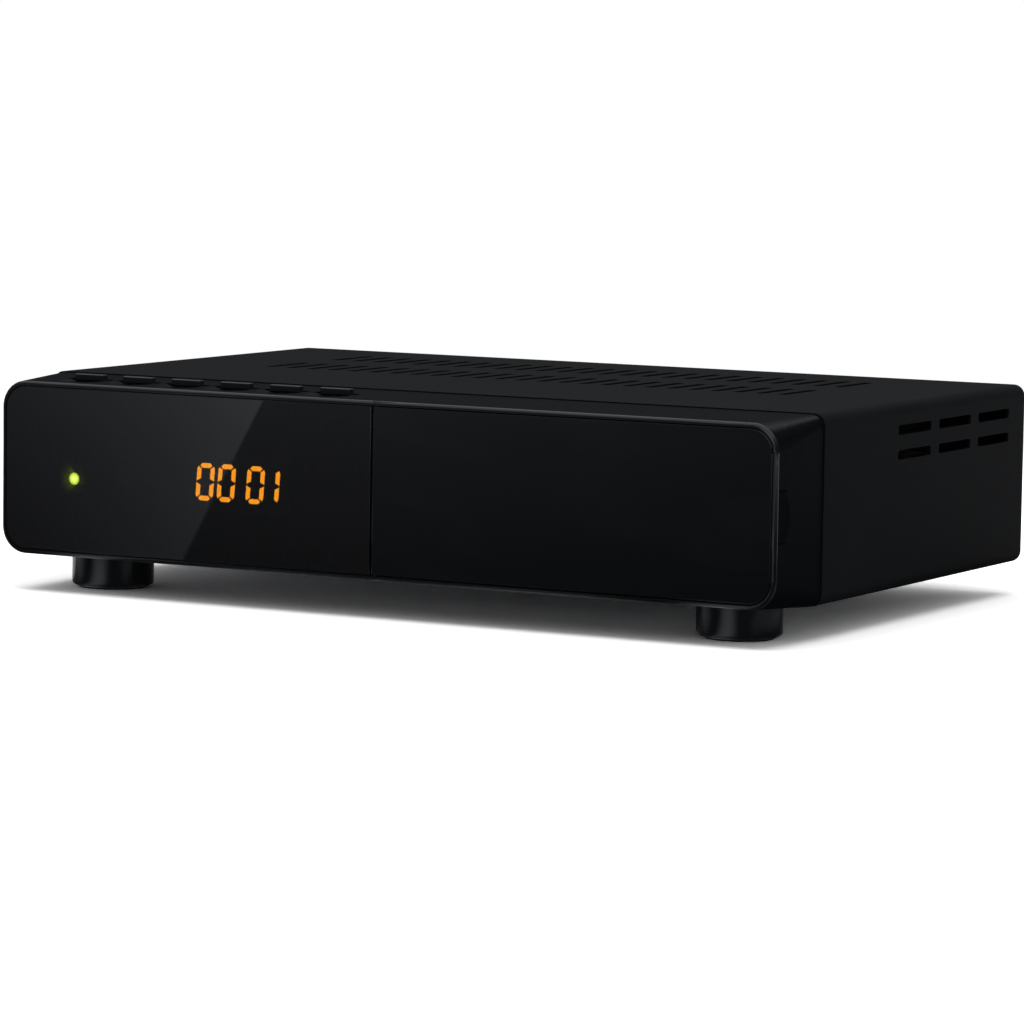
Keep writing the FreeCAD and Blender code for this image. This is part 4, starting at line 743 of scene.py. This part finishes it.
class RECEIVER_OT_contacts(bpy.types.Operator):
    """Builds the gold contacts of the flat and audio-video sockets and the audio jack's ring"""
    bl_idname = "receiver.contacts"
    bl_label = "Socket contacts"

    def execute(self, context):
        scene = context.scene
        gold = plated("Gold plate", scene.receiver_finish.gold, 2600.0, 0.002 * MM, 0.14, 0.24)
        self.springs(scene.receiver_detail, gold)
        self.strips(gold)
        self.ring(gold)
        return {"FINISHED"}

    def springs(self, sizes, gold):
        """A bowed leaf in each slot of the audio-video socket, in two staggered rows."""
        low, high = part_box("audio_video_socket")
        bow = [(-7.4, -0.9), (-6.6, -0.9), (-3.6, -0.1), (-1.2, -0.8), (-1.1, -0.5),
               (-3.6, 0.25), (-6.8, -0.6), (-7.4, -0.6)]
        mesh = bmesh.new()
        for row, rise in enumerate((6.5 * MM, 11.2 * MM)):
            for number in range(10):
                middle = low.x + sizes.first_slot + (number + (row + 1) / 2) * sizes.slot_pitch
                leaf(mesh, [(high.y + y * MM, low.z + rise + z * MM) for y, z in bow],
                     middle - 0.3 * MM, 0.6 * MM)
        piece("audio_video_contacts", mesh, CHASSIS, gold)

    def strips(self, gold):
        """Flat contact strips on both sides of the video tongue and under the data tongue."""
        mesh = bmesh.new()
        for middle, rise, side, start, end, width, pitch, count in (
                (32.54, 21.3, 1, 59.4, 66.3, 0.32, 0.6, 19),
                (32.54, 19.5, -1, 59.4, 66.3, 0.32, 0.6, 18),
                (86.0, 21.25, -1, -60.6, -52.5, 1.1, 2.3, 4)):
            outline = [(start, -0.02), (end, -0.02), (end, 0.03), (end - 0.3, 0.07),
                       (start + 0.3, 0.07), (start, 0.03)]
            for number in range(count):
                at = middle + (number - (count - 1) / 2) * pitch - width / 2
                leaf(mesh, [(y * MM, (rise + side * z) * MM) for y, z in outline], at * MM,
                     width * MM)
        piece("tongue_contacts", mesh, CHASSIS, gold)

    def ring(self, gold):
        """Sprung ring in the audio jack's core, flared at its mouth."""
        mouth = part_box("audio_jack")[1].y
        ring = [(1.3, -5.0), (1.55, -5.0), (1.55, 0.0), (1.9, 0.03), (1.85, 0.1), (1.45, 0.1),
                (1.3, -0.2)]
        mesh = bmesh.new()
        turned(mesh, [(radius * MM, mouth + y * MM) for radius, y in ring],
               (49.76 * MM, 0, 25.6 * MM), 48)
        thing = piece("audio_jack_ring", mesh, CHASSIS, gold)
        thing.data.set_sharp_from_angle(angle=SHARP_ANGLE)


# ---- Inside ----
class RECEIVER_OT_inside(bpy.types.Operator):
    """Finishes boards, chips, sinks, capacitors, fuse, film and leads"""
    bl_idname = "receiver.inside"
    bl_label = "Inside"

    def execute(self, context):
        look = context.scene.receiver_finish
        wear(self.laminate(look), *nodes_in("board_laminate"))
        wear(moulded("Insulating film", (0.7, 0.66, 0.5), 0.3, 0.45, look.grain_size, lighter=1.2),
             *nodes_in("insulating_film"))
        self.sinks(look)
        self.capacitors(look, "main_capacitors", 3.2 * MM, (ONE_ROW, 9 * MM))
        self.capacitors(look, "output_capacitors", 4 * MM, (10 * MM, ONE_ROW))
        self.capacitors(look, "bulk_capacitor", 8 * MM, (ONE_ROW, ONE_ROW))
        self.transformer(look)
        self.chokes(look)
        self.leads()
        self.fuse(look)
        return {"FINISHED"}

    def sinks(self, look):
        """Extruded aluminium, and an aluminium plate with its black power transistor."""
        extruded, made = (plated(name, (0.62, 0.63, 0.65), 1200.0, 0.006 * MM, 0.35, 0.5)
                          for name in ("Extruded aluminium", "Sink plate"))
        wear(extruded, "decoder_heat_sink")
        depth = 3.95 * MM
        transistor = made.zone(X=(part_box("power_heat_sink")[1].x - depth, None))
        made.paint(transistor, look.black_plastic, 0.0)
        wear(made, "power_heat_sink")

    def capacitors(self, look, name, radius, pitches):
        """Sleeved cans with a pale stripe and a bare top that is scored with a cross, whose score
        lines are darkened as painted shade.
        """
        made = moulded("Sleeve of " + name, (0.02, 0.026, 0.06), 0.25, 0.4, look.grain_size)
        low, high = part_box(name)
        place, facing = made.axes(), made.axes("Normal")
        stripe, can, scored = (0.42, 0.44, 0.48), (0.62, 0.62, 0.63), (0.2, 0.2, 0.21)
        made.paint(made.between(facing["X"], 0.9, 0.94), stripe)
        from_x, from_y = (made.maths("ABSOLUTE", made.repeat(place[axis], start + radius, pitch))
                          for axis, start, pitch in zip("XY", low, pitches))
        away = made.maths("SQRT", made.plus(made.times(from_x, from_x), made.times(from_y, from_y)))
        inner = made.between(away, radius * 0.8, radius * 0.84, 1.0, 0.0)
        top = made.times(inner, made.zone(Z=(high.z - 0.3 * MM, None)))
        nearest = made.maths("MINIMUM", from_x, from_y)
        # Painted shade in the score lines of the cross.
        score_shade = made.between(nearest, 0.08 * MM, 0.14 * MM, 1.0, 0.0)
        made.paint(top, made.mixed(score_shade, can, scored), 1.0)
        wear(made, name)

    def copper(self, made, mask, axis):
        """Winds copper wire over a region, turn beside turn, with painted shade in the gaps between
        the turns.
        """
        look = bpy.context.scene.receiver_finish
        wires = made.maths("ABSOLUTE", made.repeat(made.axes()[axis], 0.0, 0.5 * MM))
        # Painted shade: the copper is darkened between the turns.
        turn = made.between(wires, 0.16 * MM, 0.24 * MM)
        made.paint(mask, made.mixed(turn, look.copper, scaled(look.copper, 0.35)), 1.0)

    def transformer(self, look):
        """Ferrite core round a taped winding, on a black bobbin."""
        made = moulded("Transformer", look.black_plastic, 0.4, 0.55)
        low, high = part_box("transformer")
        middle = (low + high) / 2
        layers = made.maths("ABSOLUTE", made.repeat(made.axes()["Z"], low.z, 3.5 * MM))
        lap = made.between(layers, 0.08 * MM, 0.16 * MM, 1.0, 0.0)
        winding = made.zone(Z=(low.z + 5 * MM, high.z - 3 * MM))
        made.paint(winding, made.mixed(lap, look.tape, scaled(look.tape, 0.6)))
        core = made.zone(Y=(middle.y - 6 * MM, middle.y + 6 * MM), Z=(low.z + 2 * MM, None))
        made.paint(core, look.ferrite)
        wear(made, "transformer")

    def chokes(self, look):
        """Line filter and storage chokes: ferrite with copper windings."""
        choke = moulded("Line choke", look.ferrite, 0.5, 0.65, look.grain_size)
        low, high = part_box("mains_choke")
        middle, half = (low.x + high.x) / 2, 3.5 * MM
        wound = choke.zone(X=(middle - half, middle + half), Z=(None, low.z + 10 * MM))
        self.copper(choke, wound, "X")
        wear(choke, "mains_choke")
        coils = moulded("Storage chokes", look.ferrite, 0.5, 0.65, look.grain_size)
        low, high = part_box("power_coils")
        flange = 1.6 * MM
        self.copper(coils, coils.zone(Z=(low.z + flange, high.z - flange)), "Z")
        wear(coils, "power_coils")

    def leads(self):
        """Grey flat cable with a marked edge and painted shade in its grooves, and supply wires of
        several colours.
        """
        red, black, yellow, white = ((0.4, 0.02, 0.02), (0.015, 0.015, 0.015), (0.6, 0.42, 0.02),
                                     (0.5, 0.5, 0.48))
        grey, groove_shade, core = (0.36, 0.37, 0.39), (0.2, 0.2, 0.22), 1 * MM
        cable = moulded("Flat cable", grey, 0.35, 0.5, lighter=1.2)
        low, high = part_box("ribbon_cable")
        ridge = cable.maths("ABSOLUTE", cable.repeat(cable.axes()["X"], low.x, core))
        # Painted shade: the grooves between the cores are darkened.
        cable.paint(cable.between(ridge, 0.04 * MM, 0.12 * MM, 1.0, 0.0), groove_shade)
        cable.paint(cable.zone(X=(None, low.x + core)), red)
        wear(cable, "ribbon_cable")
        wires = moulded("Supply wires", red, 0.35, 0.5)
        low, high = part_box("supply_wires")
        step = (high.y - low.y) / 5
        for number, tone in enumerate((black, yellow, black, white), 1):
            wires.paint(wires.zone(Y=(low.y + number * step, None)), tone)
        wear(wires, "supply_wires")

    def fuse(self, look):
        """Pale tube with tinned end caps, in tinned clips."""
        made = moulded("Fuse", (0.62, 0.64, 0.6), 0.08, 0.16, look.grain_size, lighter=1.2)
        low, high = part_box("mains_fuse")
        middle, half = (low.y + high.y) / 2, 5 * MM
        ends = made.maths("SUBTRACT", 1.0, made.zone(Y=(middle - half, middle + half)))
        made.paint(ends, (0.6, 0.59, 0.56), 1.0)
        wear(made, "mains_fuse")

    def laminate(self, look):
        """Green solder resist over copper tracks that show as paler raised lines."""
        made = Finish("Solder resist", Coat_Weight=0.3, Coat_Roughness=0.2)
        tracks = made.cells(made.place, 260.0, "Distance", feature="F1", distance="MANHATTAN")
        track = made.between(tracks, 0.62, 0.68)
        grain = made.use("grain", Size=look.spark_size)
        base = made.mixed(grain["Tone"], scaled(look.laminate, 0.75), scaled(look.laminate, 1.25))
        made.set(Base_Color=made.mixed(track, base, scaled(look.laminate, 2.1)),
                 Roughness=made.between(grain["Tone"], 0.3, 0.7, 0.3, 0.42))
        made.bump(made.plus(track, made.times(grain["Height"], 0.1)), 0.03 * MM)
        return made


# ---- Stage ----
def stage_piece(name, mesh, material):
    """Turns a bmesh into an object, for the floor and the studio cards."""
    thing = made_object(name, mesh, material)
    return thing


def only_in_gloss(thing):
    """A studio card or flag: seen in reflections, and neither by the camera nor as light."""
    for use in ("camera", "diffuse", "transmission", "volume_scatter", "shadow"):
        setattr(thing, "visible_" + use, False)


def card_material(name):
    """An emission material for a card, as itself, its helper and its shader."""
    made = bpy.data.materials.new(name)
    made.cycles.emission_sampling = "NONE"
    nodes = Nodes(emptied(made))
    glow = nodes.add("Emission", {"Color": (0.94, 1.0, 1.1)})
    nodes.add("OutputMaterial", {"Surface": glow.outputs[0]})
    return made, nodes, glow


def slanted(nodes, across, along, ahead):
    """Light of the dark sheet and the paler one, on either side of the slanted line."""
    line_start, line_end, soft = Vector((-0.105, -0.156)), Vector((-0.390, -0.657)), 0.6 * MM
    pale_level, pale_rise, fade, fade_rise = 0.21, 0.82, -0.05, -0.13
    dark_level, dark_rise, dark_far = 0.06, 0.275, 0.64
    maths = nodes.maths
    slope = (line_end.x - line_start.x) / (line_end.y - line_start.y)
    line = maths("MULTIPLY_ADD", maths("SUBTRACT", along, line_start.y), slope, line_start.x)
    aside = maths("SUBTRACT", line, across)
    fading = maths("DIVIDE", aside, maths("MULTIPLY_ADD", ahead, fade_rise, fade))
    pale = nodes.times(maths("MULTIPLY_ADD", ahead, pale_rise, pale_level),
                       maths("EXPONENT", fading))
    dark = nodes.times(maths("MULTIPLY_ADD", ahead, dark_rise, dark_level),
                       nodes.between(aside, -0.06, -0.21, 1.0, dark_far))
    return nodes.blend(nodes.between(aside, -soft, soft), dark, pale)


def near_feet(nodes, across, along, forward):
    """Light close to the receiver: strips before the front feet and beside them, and a low line
    between the feet."""
    radius, strips, line_level = 10.5 * MM, 0.0, 0.14
    strip_level, strip_half, left_level, right_level, behind_feet = 0.72, 0.52, 0.13, 0.08, 0.25
    far_left, far_left_level = -0.165, 0.8
    maths, times, plus, between = nodes.maths, nodes.times, nodes.plus, nodes.between
    low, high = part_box("feet")
    for foot in (low.x + radius, high.x - radius):
        beside = maths("SUBTRACT", across, foot)
        depth = maths("MAXIMUM", maths("SUBTRACT", low.y + radius, along), 1 * MM)
        spread = maths("DIVIDE", beside, depth)
        strip = between(maths("ABSOLUTE", plus(spread, 0.03)), 0.03, strip_half, strip_level,
                        0.0, smooth=True)
        left = times(between(spread, -1.4, -0.9, left_level, 0.0),
                     between(beside, -0.08, -0.06))
        right = times(nodes.band(spread, 1.4, 3.0, 0.3),
                      between(beside, 0.06, 0.08, right_level, 0.0))
        strips = plus(strips, plus(plus(strip, left), right))
        cut = maths("ABSOLUTE", maths("SUBTRACT", beside, 4 * MM))
        line_level = times(line_level, between(cut, 0.03, 0.048, 0.15, 1.0))
    strips = times(strips, between(forward, -12 * MM, -8 * MM, behind_feet, 1.0))
    line = times(nodes.band(forward, -14 * MM, 12 * MM, 3 * MM), line_level)
    end = between(across, far_left, far_left - 15 * MM, 0.035, far_left_level)
    return plus(line, plus(strips, end))


def right_card(nodes, place, across, forward, ahead):
    """Light of the bright sheet on the right, which starts away from the front corner."""
    rise, start, least, narrow_level, corner_level = 2.7, -0.6, 0.42, 0.08, 0.22
    maths, times, between = nodes.maths, nodes.times, nodes.between
    corner = nodes.measure("DISTANCE", place, (CAD_HIGH.x, CAD_LOW.y, 0.0))
    bright = maths("MAXIMUM", maths("MULTIPLY_ADD", corner, rise, start), least)
    outside = maths("MAXIMUM", maths("SUBTRACT", across, CAD_HIGH.x), 1 * MM)
    narrow = maths("MAXIMUM", between(maths("DIVIDE", ahead, outside), 1.2, 2.6, narrow_level),
                   between(corner, 0.3, 0.45))
    bright = times(times(bright, narrow), between(corner, 0.09, 0.13))
    beside = times(between(corner, 0.06, 0.1, corner_level, 0.0),
                   between(forward, 0.0, 0.012, 1.0, 0.2))
    return maths("MAXIMUM", bright, beside)


class RECEIVER_OT_stage(bpy.types.Operator):
    """Builds the floor, the light, the studio cards and the camera"""
    bl_idname = "receiver.stage"
    bl_label = "Stage"

    def execute(self, context):
        scene = context.scene
        stage = scene.receiver_stage
        self.floor(stage)
        self.world(stage, scene)
        self.softbox(stage, scene)
        self.floor_flag()
        self.wall_flag()
        self.camera(stage, scene)
        scene.view_settings.view_transform = "Standard"
        return {"FINISHED"}

    def floor(self, stage):
        """Pale floor that keeps the object's shadow; the camera sees it whiter than it lights."""
        made = bpy.data.materials.new("Pale floor")
        nodes = Nodes(emptied(made))
        lit = nodes.add("BsdfDiffuse", {"Color": (stage.floor_white,) * 3}).outputs[0]
        white = nodes.add("Emission", {"Color": (1, 1, 1), "Strength": 1.0}).outputs[0]
        away = nodes.measure("LENGTH", nodes.coordinates())
        far = nodes.between(away, stage.shadow_reach, stage.white_reach, smooth=True)
        seen = nodes.add("MixShader", {0: far, 1: lit, 2: white}).outputs[0]
        bounced = nodes.add("BsdfDiffuse", {"Color": (stage.floor_bounce,) * 3}).outputs[0]
        camera = nodes.add("LightPath").outputs["Is Camera Ray"]
        mixed = nodes.add("MixShader", {0: camera, 1: bounced, 2: seen}).outputs[0]
        nodes.add("OutputMaterial", {"Surface": mixed})
        mesh = bmesh.new()
        bmesh.ops.create_grid(mesh, x_segments=1, y_segments=1, size=stage.floor_reach)
        stage_piece("floor", mesh, made)

    def world(self, stage, scene):
        """White to the camera, in reflections and through glass; a soft fill to everything else."""
        scene.world = bpy.data.worlds.new("Studio")
        nodes = Nodes(emptied(scene.world))
        path = nodes.add("LightPath").outputs
        through = nodes.plus(path["Is Glossy Ray"], path["Is Transmission Ray"])
        seen = nodes.plus(path["Is Camera Ray"], through, clamp=True)
        strength = nodes.between(seen, 0.0, 1.0, stage.fill, 1.0)
        back = nodes.add("Background", {"Color": (1, 1, 1, 1), "Strength": strength})
        nodes.add("OutputWorld", {"Surface": back.outputs[0]})

    def softbox(self, stage, scene):
        """One large soft light overhead, a little towards the front."""
        light = bpy.data.lights.new("softbox", "AREA")
        light.shape = "RECTANGLE"
        light.size, light.size_y = stage.softbox_width, stage.softbox_depth
        light.energy = stage.softbox_power
        thing = bpy.data.objects.new("softbox", light)
        thing.location = (0, -stage.softbox_ahead, stage.softbox_height)
        thing.visible_glossy = False
        scene.collection.objects.link(thing)

    def floor_flag(self):
        """Sheets in front of the receiver: a dark one, a paler one whose edge makes the slanted
        line in the gloss front, a bright one on the right, and strips that light the feet."""
        near_start, near_end = 0.062, 0.071
        right_start, right_end, right_slope = 0.111, 0.13, 0.25
        made, nodes, glow = card_material("Front flags")
        place = nodes.coordinates()
        split = nodes.split(place)
        across, along = split["X"], split["Y"]
        forward = nodes.maths("SUBTRACT", CAD_LOW.y, along)
        ahead = nodes.maths("MAXIMUM", forward, 0.0)
        light = nodes.blend(nodes.between(ahead, near_start, near_end, 1.0, 0.0),
                            slanted(nodes, across, along, ahead),
                            near_feet(nodes, across, along, forward))
        beyond = nodes.maths("MULTIPLY_ADD", ahead, right_slope, across)
        light = nodes.blend(nodes.between(beyond, right_start, right_end), light,
                            right_card(nodes, place, across, forward, ahead))
        nodes.give(glow.inputs["Strength"], light)
        reach, back, wing = 2.0, CAD_LOW.y + 22 * MM, 0.1
        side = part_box("feet")[1].x + 1 * MM
        mesh = bmesh.new()
        mesh.faces.new([mesh.verts.new((x, y, 0.5 * MM)) for x, y in (
            (-reach, CAD_LOW.y - reach), (reach, CAD_LOW.y - reach), (reach, wing), (side, wing),
            (side, back), (-reach, back))])
        only_in_gloss(stage_piece("front_flags", mesh, made))

    def wall_flag(self):
        """Dark wall all round, paler towards its top, with a bright part ahead on the right."""
        radius, height = 1.4, 1.2
        back_levels, front_levels, front_start, bright = (0.035, 0.3), (0.06, 0.7), 0.45, 1.2
        made, nodes, glow = card_material("Wall flag")
        split, maths = nodes.split(nodes.coordinates()), nodes.maths
        up = split["Z"]
        back = nodes.between(up, 0.0, height, *back_levels)
        front = maths("MAXIMUM", back, nodes.between(up, front_start, height, *front_levels))
        before = maths("MAXIMUM", nodes.times(split["Y"], -1.0), 1 * MM)
        turned_by = maths("DIVIDE", split["X"], before)
        beside = nodes.times(nodes.band(turned_by, -0.15, 0.7, 0.06),
                             nodes.between(up, 0.15, 0.25, 0.0, bright))
        ahead = nodes.between(split["Y"], -0.2, 0.2, 1.0, 0.0)
        nodes.give(glow.inputs["Strength"],
                   nodes.blend(ahead, back, maths("MAXIMUM", front, beside)))
        mesh = bmesh.new()
        bmesh.ops.create_circle(mesh, segments=48, radius=radius)
        raised = bmesh.ops.extrude_edge_only(mesh, edges=mesh.edges)
        bmesh.ops.translate(mesh, vec=(0, 0, height),
                            verts=[v for v in raised["geom"] if isinstance(v, bmesh.types.BMVert)])
        only_in_gloss(stage_piece("wall_flag", mesh, made))

    def camera(self, stage, scene):
        camera = bpy.data.cameras.new("camera")
        camera.lens = stage.lens
        camera.clip_start, camera.clip_end = 0.05, 50.0
        thing = bpy.data.objects.new("camera", camera)
        scene.collection.objects.link(thing)
        thing.matrix_world = (Matrix.Translation(stage.camera_place)
                              @ Matrix.Rotation(stage.camera_turn, 4, "Z")
                              @ Matrix.Rotation(math.pi / 2 - stage.camera_tilt, 4, "X")
                              @ Matrix.Rotation(stage.camera_roll, 4, "Z"))
        scene.camera = thing


# ---- Panel and registration ----
OPERATORS = (RECEIVER_OT_case, RECEIVER_OT_plates, RECEIVER_OT_display, RECEIVER_OT_keys,
             RECEIVER_OT_feet, RECEIVER_OT_aerials, RECEIVER_OT_sockets, RECEIVER_OT_contacts,
             RECEIVER_OT_inside, RECEIVER_OT_stage)
SETTINGS = {"receiver_finish": FinishSettings, "receiver_detail": DetailSettings,
            "receiver_stage": StageSettings}


class RECEIVER_PT_panel(bpy.types.Panel):
    """Settings and steps of the receiver"""
    bl_label = "Satellite receiver"
    bl_idname = "RECEIVER_PT_panel"
    bl_space_type = "VIEW_3D"
    bl_region_type = "UI"
    bl_category = "Receiver"

    def draw(self, context):
        for operator in OPERATORS:
            self.layout.operator(operator.bl_idname)
        for name, settings in SETTINGS.items():
            box = self.layout.box()
            for field in settings.__annotations__:
                box.prop(getattr(context.scene, name), field)


CLASSES = (*SETTINGS.values(), *OPERATORS, RECEIVER_PT_panel)


def register():
    for cls in CLASSES:
        bpy.utils.register_class(cls)
    for name, settings in SETTINGS.items():
        setattr(bpy.types.Scene, name, PointerProperty(type=settings))


def unregister():
    for name in SETTINGS:
        delattr(bpy.types.Scene, name)
    for cls in reversed(CLASSES):
        bpy.utils.unregister_class(cls)


def main():
    register()
    for operator in OPERATORS:
        group, name = operator.bl_idname.split(".")
        getattr(getattr(bpy.ops, group), name)()
    bpy.context.view_layer.update()


if __name__ == "__main__":
    main()
